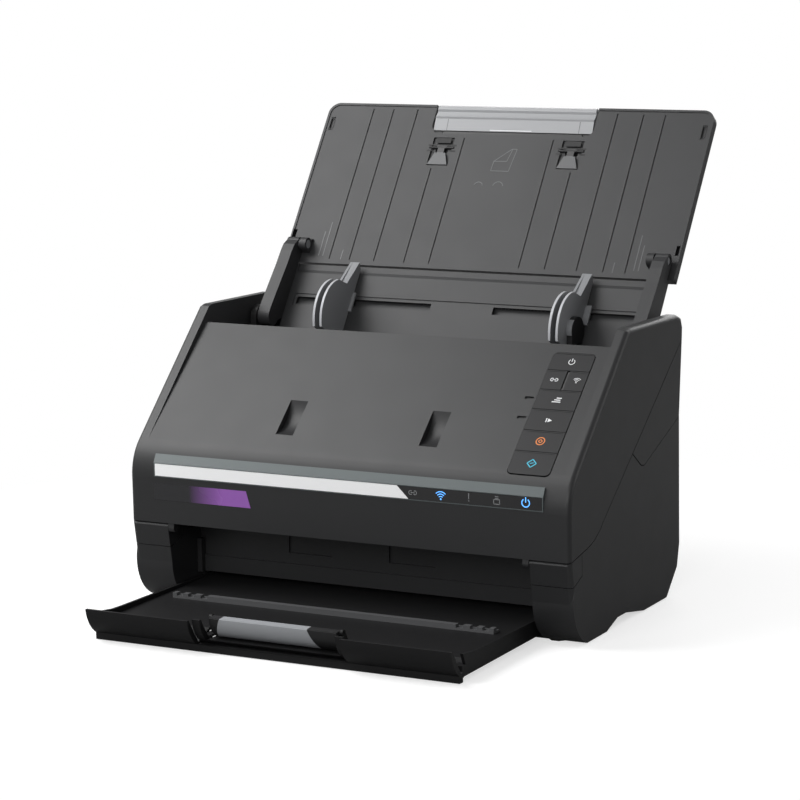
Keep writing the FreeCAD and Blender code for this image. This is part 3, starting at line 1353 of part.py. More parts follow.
def build():
    pieces = {
        "base_housing": base_housing(),
        "pillar_caps": pillar_caps(),
        "rear_upper_housing": rear_upper_housing(),
        "tray_posts": tray_posts(),
        "rubber_feet": rubber_feet(),
        "rear_sockets": rear_sockets(),
        "lower_paper_guide": lower_paper_guide(),
        "lower_scan_glass": scan_glass(-1),
        "lower_sensor_module": sensor_module(-1),
        "side_frames": side_frames(),
        "drive_motor": drive_motor(),
        "main_board": main_board(),
        "pickup_shaft": shaft(pickup_centre, -frame_x - 3, gear_x + gear_width + 1),
        "pickup_tyres": pickup_tyres(),
        "feed_shaft": shaft(feed_centre, -frame_x - 3, gear_x + gear_width + 1),
        "feed_tyres": pair_of_tyres(feed_radius, feed_centre),
        "eject_shaft": shaft(eject_centre, -frame_x - 3, gear_x + gear_width + 1),
        "eject_tyres": pair_of_tyres(eject_radius, eject_centre),
        "scanner_cover": scanner_cover(),
        "cover_release_lever": cover_release_lever(),
        "cover_inner_guide": cover_inner_guide(),
        "upper_scan_glass": scan_glass(1),
        "upper_sensor_module": sensor_module(1),
        "retard_roller": retard_roller(),
        "feed_idlers": idler_pair(feed_idler_radius, feed_idler_centre),
        "eject_idlers": idler_pair(eject_idler_radius, eject_idler_centre),
        "panel_board": panel_board(),
        "status_bezel": status_bezel(),
        "name_plate": name_plate(),
        "status_window": status_window(),
        "input_tray_bed": input_tray_bed(),
        "tray_rear_cover": tray_rear_cover(),
        "tray_arms": Part.makeCompound([tray_arm(1), tray_arm(-1)]),
        "guide_pinion": guide_pinion(),
        "right_edge_guide": edge_guide(1),
        "left_edge_guide": edge_guide(-1),
        "input_panel": input_panel(),
        "panel_back_cover": panel_back_cover(),
        "panel_fold_pins": panel_fold_pins(),
        "tray_extension": tray_extension(),
        "right_flip_tab": flip_tab(1),
        "left_flip_tab": flip_tab(-1),
        "output_tray": output_tray(),
        "output_extension_1": output_extension_1(),
        "output_extension_2": output_extension_2(),
        "output_stopper": output_stopper(),
        "stack_rest": stack_rest(),
    }
    pieces.update(drive_gears())
    pieces.update(keys())
    return pieces


os.makedirs("parts", exist_ok=True)
for part_name, part_shape in build().items():
    save(part_name, part_shape)
print("footprint middle y", round(footprint_middle_y, 3))
print("tray pivot", [round(v, 2) for v in pivot], "panel fold", [round(v, 2) for v in fold])
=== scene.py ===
# %% [markdown]
# # A sheet-fed photo scanner, dressed for its portrait
# The scanner arrives as a finished mechanical model: every shell, key, roller and hinge already has
# its true shape and place. This notebook adds what a drawing can't hold: the finish of each plastic,
# the printed symbols, the small screws, and the light of a photo studio.

# %% Load the packed model
import json
import math

import bmesh
import bpy
from mathutils import Matrix, Vector


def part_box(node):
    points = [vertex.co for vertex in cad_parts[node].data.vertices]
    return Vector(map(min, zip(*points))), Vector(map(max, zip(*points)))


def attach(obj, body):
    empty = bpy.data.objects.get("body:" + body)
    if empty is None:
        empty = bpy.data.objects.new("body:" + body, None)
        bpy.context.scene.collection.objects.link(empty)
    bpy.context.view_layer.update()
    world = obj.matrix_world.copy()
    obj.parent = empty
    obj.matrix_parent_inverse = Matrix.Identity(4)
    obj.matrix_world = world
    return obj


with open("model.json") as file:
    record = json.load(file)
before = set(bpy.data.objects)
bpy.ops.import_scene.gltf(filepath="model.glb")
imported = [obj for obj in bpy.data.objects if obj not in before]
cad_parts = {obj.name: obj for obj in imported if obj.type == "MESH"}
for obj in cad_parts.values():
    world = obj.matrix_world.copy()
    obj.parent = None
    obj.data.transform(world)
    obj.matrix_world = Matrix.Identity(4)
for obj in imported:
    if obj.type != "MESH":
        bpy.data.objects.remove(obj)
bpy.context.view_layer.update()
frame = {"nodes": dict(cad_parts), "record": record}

# %% [markdown]
# ## Where things lie
# Nearly all printed symbols sit on three flat places: the sloping control panel, the upright status
# strip and the leaning upper panel. It would be tiresome to work out world coordinates for each
# symbol. Instead each flat place gets its own little coordinate system: across, along, and off the
# surface. A symbol is then drawn as if on paper and laid down with one matrix. Two known points fix the
# leaning places: the top edge of the slope, and the line where the tray bed and the upper panel meet.

# %% Flat places of the scanner
MM = 0.001
CONTROL_SLOPE = math.radians(41.6)
TRAY_TILT = math.radians(54.4)
slope_top = Vector((0.0, 1.985, 164.51)) * MM
tray_split = Vector((0.0, 98.085, 191.0)) * MM


def lean(origin, angle):
    """Matrix of a plane that rises towards the back by an angle: x across, y along, z off it."""
    run, rise = math.cos(angle), math.sin(angle)
    turn = Matrix(((1, 0, 0), (0, run, -rise), (0, rise, run))).to_4x4()
    return Matrix.Translation(origin) @ turn


def upright(y):
    """Matrix of a front-facing upright plane: x across, y is height, z comes towards the viewer."""
    turn = Matrix(((1, 0, 0), (0, 0, -1), (0, 1, 0))).to_4x4()
    return Matrix.Translation((0, y, 0)) @ turn


control_plane = lean(slope_top, CONTROL_SLOPE)
tray_plane = lean(tray_split, TRAY_TILT)
window_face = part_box("status_window")[0].y
strip_plane = upright(window_face)
lip_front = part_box("scanner_cover")[0].y
cover_plane = upright(lip_front)
print("window face at y", round(window_face / MM, 2), "mm")

# %% [markdown]
# ## Numbers that become nodes
# A material is a small graph. Written node by node it gets long and hard to read, so a wrapped
# socket lets us write sums as sums: `1 - mask * 0.3` adds the Math nodes by itself. Everything else
# in a graph comes from one method that makes a node, sets its options and fills its sockets.

# %% A number that varies over a surface
class Field:
    def __init__(self, finish, socket):
        self.finish, self.socket = finish, socket

    def math(self, operation, *others):
        made = self.finish.node("Math", {"operation": operation}, dict(enumerate((self,) + others)))
        return Field(self.finish, made.outputs[0])

    def __add__(self, other):
        return self.math("ADD", other)

    def __sub__(self, other):
        return self.math("SUBTRACT", other)

    def __mul__(self, other):
        return self.math("MULTIPLY", other)

    def __rsub__(self, other):
        flipped = self.math("MULTIPLY", -1.0)
        return flipped.math("ADD", other)

    __radd__ = __add__
    __rmul__ = __mul__

    def between(self, low, high):
        """0 below low, 1 above high, and a straight rise between them."""
        made = self.finish.node("MapRange", {"clamp": True},
                                {"Value": self, "From Min": low, "From Max": high})
        return Field(self.finish, made.outputs["Result"])


print("a field knows:", [name for name in vars(Field) if not name.startswith("_")])

# %% A material being written
# Places of the colour sockets in the lists of a Mix node
COLOUR_A, COLOUR_B, COLOUR_RESULT = 6, 7, 2


def opaque(colour):
    """Three numbers get a fourth for a node's colour socket; a socket stays as it is."""
    return (*colour, 1) if isinstance(colour, tuple) else colour


class Finish:
    def __init__(self, name):
        self.material = bpy.data.materials.new(name)
        self.material.use_nodes = True
        self.tree = self.material.node_tree
        self.tree.nodes.clear()
        self.end = self.tree.nodes.new("ShaderNodeOutputMaterial")
        coordinates = self.node("TexCoord", {}, {})
        self.place = coordinates.outputs["Object"]

    def node(self, kind, settings, inputs):
        made = self.tree.nodes.new("ShaderNode" + kind)
        for key, value in settings.items():
            setattr(made, key, value)
        for key, value in inputs.items():
            socket = made.inputs[key]
            if isinstance(value, Field):
                self.tree.links.new(value.socket, socket)
            elif isinstance(value, bpy.types.NodeSocket):
                self.tree.links.new(value, socket)
            else:
                socket.default_value = value
        return made

    def noise(self, size, detail=2.0, rough=0.5, stretch=(1, 1, 1)):
        """Cloudy pattern between 0 and 1 whose blotches measure about size, in metres."""
        spread = self.node("Mapping", {}, {"Vector": self.place, "Scale": stretch})
        made = self.node("TexNoise", {}, {"Vector": spread.outputs[0], "Scale": 1 / size,
                                          "Detail": detail, "Roughness": rough})
        return Field(self, made.outputs["Fac"])

    def blend(self, share, low, high):
        """Colour that goes from low to high as a share goes from 0 to 1."""
        made = self.node("Mix", {"data_type": "RGBA"},
                         {"Factor": share, COLOUR_A: opaque(low), COLOUR_B: opaque(high)})
        return made.outputs[COLOUR_RESULT]

    def along(self, direction):
        """How far a point lies in a direction, in metres from the origin."""
        made = self.node("VectorMath", {"operation": "DOT_PRODUCT"}, {0: self.place, 1: direction})
        return Field(self, made.outputs["Value"])

    def bump(self, height, depth):
        made = self.node("Bump", {}, {"Height": height, "Distance": depth, "Strength": 1.0})
        return made.outputs["Normal"]

    def close(self, constants, varying):
        """Feed a Principled shader with fixed numbers and with what changes over the surface."""
        shader = self.node("BsdfPrincipled", {}, {**constants, **varying})
        self.tree.links.new(shader.outputs[0], self.end.inputs["Surface"])
        return self.material


def shade(colour, factor):
    return tuple(channel * factor for channel in colour)


print("shader helpers ready")

# %% [markdown]
# ## Moulded plastic
# The shells of such a machine are injection moulded in a tool whose steel was etched by sparks. That
# leaves a very fine, even grain that scatters light: edges stay soft and large faces look velvety.
# An image of the grain would need unwrapping. A noise pattern in object space costs nothing and has
# the same grain on every piece, so one function makes all the plastics: a fine grain in the bump, a
# slow cloud in the colour, and a little unevenness in the gloss where hands have been.

# %% One recipe for every moulded piece
GRAIN = 0.55
BORDER_BLUR = 0.1 * MM


def moulded(name, colour, roughness, grain=GRAIN, depth=0.012, cloud=0.05, uneven=0.06, shine=0.35):
    finish = Finish(name)
    grains = finish.noise(grain * MM, detail=1.5, rough=0.6)
    blotches = finish.noise(0.045, detail=3.0)
    tint = finish.blend(blotches, shade(colour, 1 - cloud), shade(colour, 1 + cloud))
    worn = finish.noise(0.018, detail=2.0)
    gloss = roughness + (worn - 0.5) * uneven + (grains - 0.5) * 0.05
    return finish.close({"Specular IOR Level": shine},
                        {"Base Color": tint, "Roughness": gloss, "Normal": finish.bump(grains, depth * MM)})


plastics = {
    "shell_charcoal": moulded("etched_charcoal_shell", (0.0185, 0.0188, 0.0197), 0.46, shine=0.36),
    "tray_charcoal": moulded("etched_charcoal_tray", (0.026, 0.0263, 0.0275), 0.5, shine=0.36),
    "guide_grey": moulded("etched_guide_grey", (0.23, 0.235, 0.245), 0.42),
    "guide_black": moulded("paper_guide_black", (0.010, 0.010, 0.011), 0.4, grain=1.2, depth=0.006),
    "key_black": moulded("satin_key_black", (0.012, 0.012, 0.013), 0.5, depth=0.006, shine=0.27),
    "light_grey": moulded("satin_light_grey", (0.34, 0.35, 0.365), 0.36, depth=0.006),
    "barrel_grey": moulded("barrel_grey", (0.23, 0.235, 0.245), 0.35, depth=0.005),
    "idler_grey": moulded("pinch_roller_grey", (0.2, 0.205, 0.21), 0.4),
    "gear_white": moulded("acetal_white", (0.68, 0.67, 0.62), 0.38, depth=0.004),
    "socket_black": moulded("socket_black", (0.01, 0.01, 0.01), 0.4),
}
output_black = moulded("output_tray_black", (0.009, 0.009, 0.0095), 0.52, shine=0.2)
print("moulded finishes:", len(plastics) + 1)

# %% [markdown]
# ## Mouldings in two colours
# Some pieces are moulded in two colours: the handle of the upper panel sits on a dark tongue, each
# flip-up tab is black at its hinge, and the light stopper has black ends. Cutting the mesh at the border
# is one way. Here the material does it: a distance measured in object space goes from 0 to 1 within a
# tenth of a millimetre on each side of the border, and that number blends the two colours.

# %% Two colours with a sharp border
def two_tone(name, low_colour, high_colour, border):
    """A moulding on the upper panel whose colour changes at a distance up the panel, in mm."""
    finish = Finish(name)
    upward = tray_plane.to_3x3() @ Vector((0, 1, 0))
    start = tray_plane.translation.dot(upward) + border * MM
    share = finish.along(upward).between(start - BORDER_BLUR, start + BORDER_BLUR)
    grains = finish.noise(GRAIN * MM, detail=1.5, rough=0.6)
    worn = finish.noise(0.018, detail=2.0)
    return finish.close({"Specular IOR Level": 0.35},
                        {"Base Color": finish.blend(share, low_colour, high_colour),
                         "Roughness": 0.38 + (worn - 0.5) * 0.06,
                         "Normal": finish.bump(grains, 0.005 * MM)})


LIGHT_MIDDLE, LIGHT_HALF, LIGHT_TAPER = -6, 37.5, 0.41


def stopper_finish():
    """Light grey near the middle; its ends are black, and the light part narrows upwards."""
    finish = Finish("stopper_two_tone")
    split = finish.node("SeparateXYZ", {}, {0: finish.place})
    across = (Field(finish, split.outputs["X"]) - LIGHT_MIDDLE * MM).math("ABSOLUTE")
    height = Field(finish, split.outputs["Z"])
    border = LIGHT_HALF * MM - height * LIGHT_TAPER
    share = (across - border).between(-BORDER_BLUR, BORDER_BLUR)
    grains = finish.noise(GRAIN * MM, detail=1.5, rough=0.6)
    tint = finish.blend(share, (0.30, 0.31, 0.325), (0.012, 0.012, 0.0125))
    return finish.close({"Specular IOR Level": 0.35},
                        {"Base Color": tint, "Roughness": 0.42 + grains * 0.05,
                         "Normal": finish.bump(grains, 0.005 * MM)})


HANDLE_BORDER, TAB_BORDER = 103.6, 86.0
own_finish = {
    "output_stopper": stopper_finish(),
    "tray_extension": two_tone("handle_silver", (0.012, 0.012, 0.0125), (0.31, 0.315, 0.325), HANDLE_BORDER),
    "output_tray": output_black, "output_extension_1": output_black, "output_extension_2": output_black,
    "stack_rest": moulded("rest_bar_grey", (0.085, 0.086, 0.089), 0.4),
    "left_flip_tab": two_tone("flip_tab_grey", (0.075, 0.077, 0.08), (0.014, 0.014, 0.015), TAB_BORDER),
}
own_finish["right_flip_tab"] = own_finish["left_flip_tab"]
# Painted highlight: light grey for the bright line along each fin's rounded front edge.
fin_highlight = moulded("painted_fin_highlight", (0.46, 0.47, 0.49), 0.4, depth=0.004)
print("solids with a finish of their own:", len(own_finish))

# %% [markdown]
# ## The dark window, the bright plate and the bevel
# The status strip is the only glossy part. Its right half is a smoked window: black, mirror-smooth
# and clear-coated. Its left half is a bright plate painted with fine metal flakes, and both sit in a
# grey-green bevel. Flakes are a very fine noise that nudges both colour and gloss.

# %% Finishes of the status strip
def smoked_window():
    finish = Finish("smoked_window")
    haze = finish.noise(0.02, detail=3.0)
    return finish.close({"Specular IOR Level": 0.5, "Coat Weight": 0.6, "Coat Roughness": 0.04},
                        {"Base Color": finish.blend(haze, (0.0035, 0.0035, 0.004), (0.006, 0.006, 0.007)),
                         "Roughness": 0.08 + haze * 0.06})


def flake_paint(name, colour, roughness, metal):
    finish = Finish(name)
    flakes = finish.noise(0.00025, detail=1.0, rough=0.8)
    haze = finish.noise(0.03, detail=2.0)
    tint = finish.blend(flakes, shade(colour, 0.9), shade(colour, 1.06))
    return finish.close({"Metallic": metal, "Coat Weight": 0.25, "Coat Roughness": 0.15},
                        {"Base Color": tint, "Roughness": roughness + haze * 0.08 + flakes * 0.04})


strip_finishes = {
    "window_black": smoked_window(),
    "plate_silver": flake_paint("bright_flake_plate", (0.93, 0.935, 0.94), 0.26, 0.0),
    "bezel_grey": flake_paint("grey_green_bevel", (0.085, 0.100, 0.102), 0.34, 0.2),
}
print("strip finishes:", len(strip_finishes))

# %% [markdown]
# ## Metal, rubber, glass and boards
# Inside are ground shafts, zinc-plated frames, rubber tyres, glass strips and circuit boards. Most
# show only when the cover stands open, yet each gets a finish of its own. Ground metal has fine
# rings round its axis, which is a noise squeezed along X. Rubber is matt with a dusty bloom.

# %% Finishes of the inner parts
def ground_metal(name, colour, roughness, stretch):
    finish = Finish(name)
    scratches = finish.noise(0.004, detail=4.0, stretch=stretch)
    tint = finish.blend(scratches, shade(colour, 0.86), colour)
    return finish.close({"Metallic": 1.0},
                        {"Base Color": tint, "Roughness": roughness + scratches * 0.16,
                         "Normal": finish.bump(scratches, 0.004 * MM)})


def rubber(name, colour):
    finish = Finish(name)
    bloom = finish.noise(0.006, detail=4.0)
    grains = finish.noise(0.0004, detail=1.0)
    return finish.close({"Specular IOR Level": 0.3},
                        {"Base Color": finish.blend(bloom, colour, shade(colour, 1.5)),
                         "Roughness": 0.7 + bloom * 0.15, "Normal": finish.bump(grains, 0.02 * MM)})


def scan_glass():
    finish = Finish("scan_glass")
    smear = finish.noise(0.02, detail=3.0)
    return finish.close({"Transmission Weight": 0.85, "IOR": 1.5},
                        {"Base Color": finish.blend(smear, (0.72, 0.80, 0.78), (0.80, 0.87, 0.85)),
                         "Roughness": 0.02 + smear * 0.03})


BOARD_TOP = -7.3


def circuit_board():
    """Green board; whatever of it rises between the keys is painted near-black as the shade in the gaps
    between them.
    """
    finish = Finish("circuit_board")
    tracks = finish.noise(0.003, detail=0.0, stretch=(1, 0.25, 1))
    lines = tracks.between(0.49, 0.51)
    outward = control_plane.to_3x3() @ Vector((0, 0, 1))
    surface = control_plane.translation.dot(outward) + BOARD_TOP * MM
    # Painted shade: the board above this height, seen in the gaps between the keys, turns near-black.
    gap_shade = finish.along(outward).between(surface - BORDER_BLUR, surface + BORDER_BLUR)
    green = finish.blend(lines, (0.008, 0.09, 0.035), (0.015, 0.15, 0.06))
    return finish.close({"Coat Weight": 0.15, "Coat Roughness": 0.3},
                        {"Base Color": finish.blend(gap_shade, green, (0.006, 0.006, 0.006)),
                         "Roughness": 0.4 + lines * 0.1})


inner_finishes = {
    "steel_shaft": ground_metal("ground_shaft", (0.58, 0.58, 0.59), 0.22, (6, 1, 1)),
    "steel_plate": ground_metal("zinc_plated_sheet", (0.50, 0.51, 0.53), 0.34, (1, 1, 3)),
    "motor_metal": ground_metal("drawn_motor_can", (0.42, 0.42, 0.43), 0.3, (4, 1, 1)),
    "brass_gear": ground_metal("cut_brass", (0.64, 0.47, 0.2), 0.28, (5, 1, 1)),
    "frame_black": moulded("black_lacquered_steel", (0.012, 0.012, 0.012), 0.42, grain=0.9),
    "roller_rubber": rubber("roller_rubber", (0.06, 0.062, 0.066)),
    "foot_rubber": rubber("foot_rubber", (0.02, 0.02, 0.02)),
    "scan_glass": scan_glass(),
    "board_green": circuit_board(),
}
print("inner finishes:", len(inner_finishes))

# %% [markdown]
# ## Dressing the model
# The packed record says which finish each solid should have. That list is the safest guide, so each
# solid's material slots are simply refilled by name and nothing has to be matched by hand. A few
# solids are exceptions: the output tray is a deeper black than the panel that it shares a slot with,
# its rest bar is darker than the other light pieces, and the handle, the tabs and the stopper have the
# two-coloured finishes.

# %% Put each finish on its solids
finishes = {**plastics, **strip_finishes, **inner_finishes}
for part in frame["record"]["subparts"]:
    solid = frame["nodes"][part["node"]]
    solid.data.materials.clear()
    solid.data.materials.append(own_finish.get(part["node"], finishes[part["material_slot"]]))

# %% [markdown]
# ## Printed symbols
# The keys and the window carry simple signs: a broken ring for power, arcs for wireless, bars for a
# stack of sheets. They could be an image, but an image blurs up close and needs unwrapping. Here each
# sign is built from a few strokes drawn on paper, an arc, a bar, a filled shape and a closed line, and
# then given the thickness of a coat of ink.

# %% Strokes on paper
INK = 0.05


def arc(centre, radius, width, start, end, steps=28):
    """Ring segment as a closed outline, angles in degrees."""
    outer, inner = [], []
    for index in range(steps + 1):
        angle = math.radians(start + (end - start) * index / steps)
        direction = Vector((math.cos(angle), math.sin(angle)))
        outer.append(Vector(centre) + direction * (radius + width / 2))
        inner.append(Vector(centre) + direction * (radius - width / 2))
    return [outer[i:i + 2] + inner[i:i + 2][::-1] for i in range(steps)]


def bar(start, end, width):
    start, end = Vector(start), Vector(end)
    along = (end - start).normalized()
    across = Vector((-along.y, along.x)) * width / 2
    return [[start - across, end - across, end + across, start + across]]


def filled(*points):
    return [[Vector(point) for point in points]]


def loop(points, width):
    """Closed line through points."""
    strokes = []
    for first, second in zip(points, points[1:] + points[:1]):
        strokes += bar(first, second, width)
    return strokes


print("strokes: arc, bar, filled, loop")

# %% [markdown]
# Each stroke becomes a thin closed slab: a top, a bottom and its sides. The slab is laid on its plane
# a hair above the surface, sunk a little so that no gap shows from the side. Every finished piece says
# which body it moves with.

# %% Hand a finished mesh to the scene
def add_piece(name, mesh, body):
    piece = bpy.data.objects.new(name, mesh)
    bpy.context.scene.collection.objects.link(piece)
    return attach(piece, body)


# %% Lay ink on a plane
def ink(name, strokes, plane, height, material, body, shift=(0, 0), thick=INK):
    """Turn strokes, in millimetres, into one thin mesh on a plane at a height above it."""
    points, faces = [], []
    for stroke in strokes:
        area = sum(a.x * b.y - b.x * a.y for a, b in zip(stroke, stroke[1:] + stroke[:1]))
        ring = stroke if area > 0 else stroke[::-1]
        first, count = len(points), len(ring)
        for level in (height - thick, height + thick):
            points += [plane @ (Vector((p.x + shift[0], p.y + shift[1], level)) * MM) for p in ring]
        low = [first + i for i in range(count)]
        high = [first + count + i for i in range(count)]
        faces.append(high)
        faces.append(low[::-1])
        for i in range(count):
            j = (i + 1) % count
            faces.append([low[i], low[j], high[j], high[i]])
    mesh = bpy.data.meshes.new(name)
    mesh.from_pydata(points, [], faces)
    mesh.materials.append(material)
    return add_piece(name, mesh, body)


def printed(name, colour, roughness=0.45, glow=0.0):
    """Ink with a slightly uneven cover, or a lit symbol behind the window; also painted shade and painted
    highlights.
    """
    finish = Finish(name)
    cover = finish.noise(0.0012, detail=2.0)
    tint = finish.blend(cover, shade(colour, 0.86), colour)
    varying = {"Base Color": tint, "Roughness": roughness + cover * 0.1}
    if glow:
        varying["Emission Color"] = tint
    return finish.close({"Emission Strength": glow}, varying)


# White ink for the key signs, also used for the painted glint on the handle.
ink_and_glint_white = printed("ink_and_glint_white", (0.78, 0.79, 0.80))
grey_ink = printed("grey_ink", (0.20, 0.205, 0.21))
orange_ink = printed("orange_ink", (0.75, 0.22, 0.03))
cyan_ink = printed("cyan_ink", (0.03, 0.45, 0.62))
blue_light = printed("blue_light", (0.10, 0.38, 0.95), glow=1.4)
print("inks ready")

# %% The signs, drawn on paper
def power_sign(size):
    return arc((0, 0), size, size * 0.24, 125, 415) + bar((0, size * 0.1), (0, size * 1.35), size * 0.24)


def link_sign(size):
    left = arc((-size * 0.75, 0), size * 0.6, size * 0.26, 50, 310)
    right = arc((size * 0.75, 0), size * 0.6, size * 0.26, -130, 130)
    return left + right + bar((-size * 0.7, 0), (size * 0.7, 0), size * 0.26)


def wireless_sign(size):
    strokes = [arc((0, -size), radius * size, size * 0.22, 45, 135, 12) for radius in (0.7, 1.3, 1.9)]
    dot = arc((0, -size), size * 0.12, size * 0.24, 0, 360, 16)
    return [quad for stroke in strokes for quad in stroke] + dot


def stack_sign(size):
    strokes = []
    for row, (left, right) in enumerate(((-0.2, 1.2), (-0.7, 1.0), (-1.2, 1.2))):
        height = (1 - row) * size * 0.62
        strokes += bar((left * size, height), (right * size, height), size * 0.3)
    return strokes


def feed_sign(size):
    arrow = filled((-size * 0.25, -size * 0.7), (size * 1.1, 0), (-size * 0.25, size * 0.7))
    return bar((-size * 0.8, -size * 0.75), (-size * 0.8, size * 0.75), size * 0.35) + arrow


def diamond(size, width):
    corners = [Vector((0, -size)), Vector((size, 0)), Vector((0, size)), Vector((-size, 0))]
    return loop(corners, width)


print("power sign strokes:", len(power_sign(1.9)))

# %% Ink on the keys
KEY_FACE = 0.4
KEYS = {
    "power_key": (118.1, -13.2, power_sign(1.9), ink_and_glint_white),
    "link_key": (111.5, -27.2, link_sign(1.7), ink_and_glint_white),
    "wireless_key": (125.8, -26.6, wireless_sign(1.7), ink_and_glint_white),
    "feed_speed_key": (118.1, -42.0, stack_sign(2.3), ink_and_glint_white),
    "automatic_feed_key": (118.1, -57.2, feed_sign(1.9), ink_and_glint_white),
    "stop_key": (118.1, -72.6, arc((0, 0), 2.6, 0.6, 0, 360) + diamond(1.25, 0.5), orange_ink),
    "start_key": (118.1, -88.8, diamond(2.9, 0.65) + bar((-1.1, -0.2), (1.1, 0.5), 0.5), cyan_ink),
}
for key, (x, s, strokes, colour) in KEYS.items():
    ink(key + "_sign", strokes, control_plane, KEY_FACE, colour, key + "_body", (x, s))
print("signs on keys:", len(KEYS))

# %% [markdown]
# ## Lamps behind the window
# Five signs show through the smoked window. Two of them are lit in blue: their material gives off
# light by itself. The other three are only printed in dark grey and nearly vanish in the black.

# %% Signs in the status window
WINDOW_ROW = 85.6
bang = bar((0, -0.8), (0, 2.6), 0.6) + bar((0, -2.2), (0, -1.6), 0.6)
box_sign = loop([Vector((-1.9, -2.3)), Vector((1.9, -2.3)), Vector((1.9, 0.4)), Vector((-1.9, 0.4))], 0.5)
lid = bar((-1.1, 1.1), (1.1, 1.1), 0.45) + bar((-1.1, 2.1), (1.1, 2.1), 0.45)
LAMPS = {
    "link_lamp": (47.9, link_sign(1.9), grey_ink),
    "wireless_lamp": (66.2, wireless_sign(2.3), blue_light),
    "warning_lamp": (84.3, bang, grey_ink),
    "sheets_lamp": (102.2, box_sign + lid, grey_ink),
    "ready_lamp": (120.6, power_sign(2.4), blue_light),
}
for lamp, (x, strokes, colour) in LAMPS.items():
    ink(lamp, strokes, strip_plane, 0.02, colour, "cover", (x, WINDOW_ROW), 0.03)
print("lamps:", len(LAMPS))

# %% [markdown]
# ## The coloured label
# Below the strip lies a long narrow label under a clear film: a plain gradient, black on the left and
# violet on the right. The colour follows the piece's own X coordinate, which the Object coordinates
# give directly.

# %% A bare gradient label
LABEL = ((-131.0, 66.8), (-62.5, 66.8), (-65.5, 77.0), (-131.0, 77.0))
FADE_START, FADE_END = -0.106, -0.082


def label_print():
    finish = Finish("label_print")
    split = finish.node("SeparateXYZ", {}, {0: finish.place})
    across = Field(finish, split.outputs["X"])
    cloud = finish.noise(0.02, detail=2.0)
    share = across.between(FADE_START, FADE_END) * (0.94 + cloud * 0.06)
    return finish.close({"Coat Weight": 0.5, "Coat Roughness": 0.08},
                        {"Base Color": finish.blend(share, (0.006, 0.006, 0.008), (0.28, 0.095, 0.42)),
                         "Roughness": 0.22 + cloud * 0.1})


ink("front_label", filled(*LABEL), cover_plane, 0.06, label_print(), "cover", thick=0.08)
print("label width", LABEL[1][0] - LABEL[0][0], "mm")

# %% [markdown]
# ## Raised marks on the upper panel
# A pictogram of a folded sheet is moulded into the panel in the panel's own colour: only its edges
# catch light. Its lines are painted a lighter grey than the panel, as a painted highlight for that light.
# Two small arcs below it show the curl of a sheet.

# %% Marks moulded into the panel
# Lighter than the panel: a painted highlight on the moulded marks and ticks; on the light handle the same
# grey draws its dark seam lines.
highlight_and_seam_line = printed("highlight_and_seam_line", (0.085, 0.087, 0.09), 0.4)
PAGE = [Vector(p) for p in ((-6.5, 73.5), (6.2, 73.5), (8.2, 90.0), (4.7, 90.0), (-6.1, 80.6))]
PAGE_FOLD = ((-6.1, 80.6), (3.1, 80.9), (5.1, 89.6))
SHEET_CURLS = ((-12.5, 3.0), (1.5, 3.6))
page_lines = loop(PAGE, 0.5) + bar(*PAGE_FOLD[:2], 0.5) + bar(*PAGE_FOLD[1:], 0.5)
for x, radius in SHEET_CURLS:
    page_lines += arc((x, 62.0), radius, 0.5, 10, 170, 14)
ink("page_mark", page_lines, tray_plane, 0.03, highlight_and_seam_line, "upper_panel", thick=0.08)
print("strokes of the page mark:", len(page_lines))

# %% [markdown]
# ## Slits and slots
# Above each flip-up tab the panel has a slot and a slit, and near each outer edge an oblong hole with a
# rim. Their insides lie in shade, so flat shapes in deep black stand for them as painted shade. The
# ticks near the fold mark where the edges of the usual sheets lie; they have the panel's own colour,
# and are painted lighter than it as a painted highlight for the light on their edges.

# %% Painted shade in the slits, and paper-edge ticks
TAB_MIDDLE, HOLE_MIDDLE, HOLE_RADIUS, HOLE_LINE = 46.5, 133.6, 1.5, 0.5
HOLE_LOW, HOLE_HIGH = 103.0, 109.0
TICKS = ((110.4, 6.0, 31.0), (113.5, 6.0, 24.0), (96.5, 3.8, 11.0))
ticks, shadows = [], []
for side in (-1, 1):
    tab, hole = side * TAB_MIDDLE, side * HOLE_MIDDLE
    shadows += filled((tab - 5.6, 93.2), (tab + 5.6, 93.2), (tab + 5.6, 97.0), (tab - 5.6, 97.0))
    shadows += bar((tab - 10.2, 91.6), (tab + 10.2, 91.6), 1.0)
    for near, far in ((-10.4, -6.6), (6.6, 10.4)):
        shadows += bar((tab + near, 87.4), (tab + far, 87.4), 0.9)
    shadows += arc((hole, HOLE_HIGH), HOLE_RADIUS, HOLE_LINE, 0, 180, 10)
    shadows += arc((hole, HOLE_LOW), HOLE_RADIUS, HOLE_LINE, 180, 360, 10)
    for x in (hole - HOLE_RADIUS, hole + HOLE_RADIUS):
        shadows += bar((x, HOLE_LOW), (x, HOLE_HIGH), HOLE_LINE)
    for x, foot, top in TICKS:
        ticks += bar((side * x, foot), (side * x, top), 0.6)
# Painted shade: near-black for the shade inside the slots, slits and oblong holes.
painted_shade_black = printed("painted_shade_black", (0.006, 0.006, 0.0065), 0.6)
ink("painted_slit_shade", shadows, tray_plane, 0.04, painted_shade_black, "upper_panel", thick=0.08)
ink("edge_ticks", ticks, tray_plane, 0.03, highlight_and_seam_line, "upper_panel", thick=0.08)
print("dark strokes:", len(shadows), "ticks:", len(ticks))

# %% [markdown]
# ## Round the handle
# The handle's tongue is narrower than the handle, so a small ledge on each side closes the recess
# below it. The handle's own front face leans, so its fine lines and the glint on its lower edge, a
# painted highlight in white, get a plane of their own, turned from the panel's.

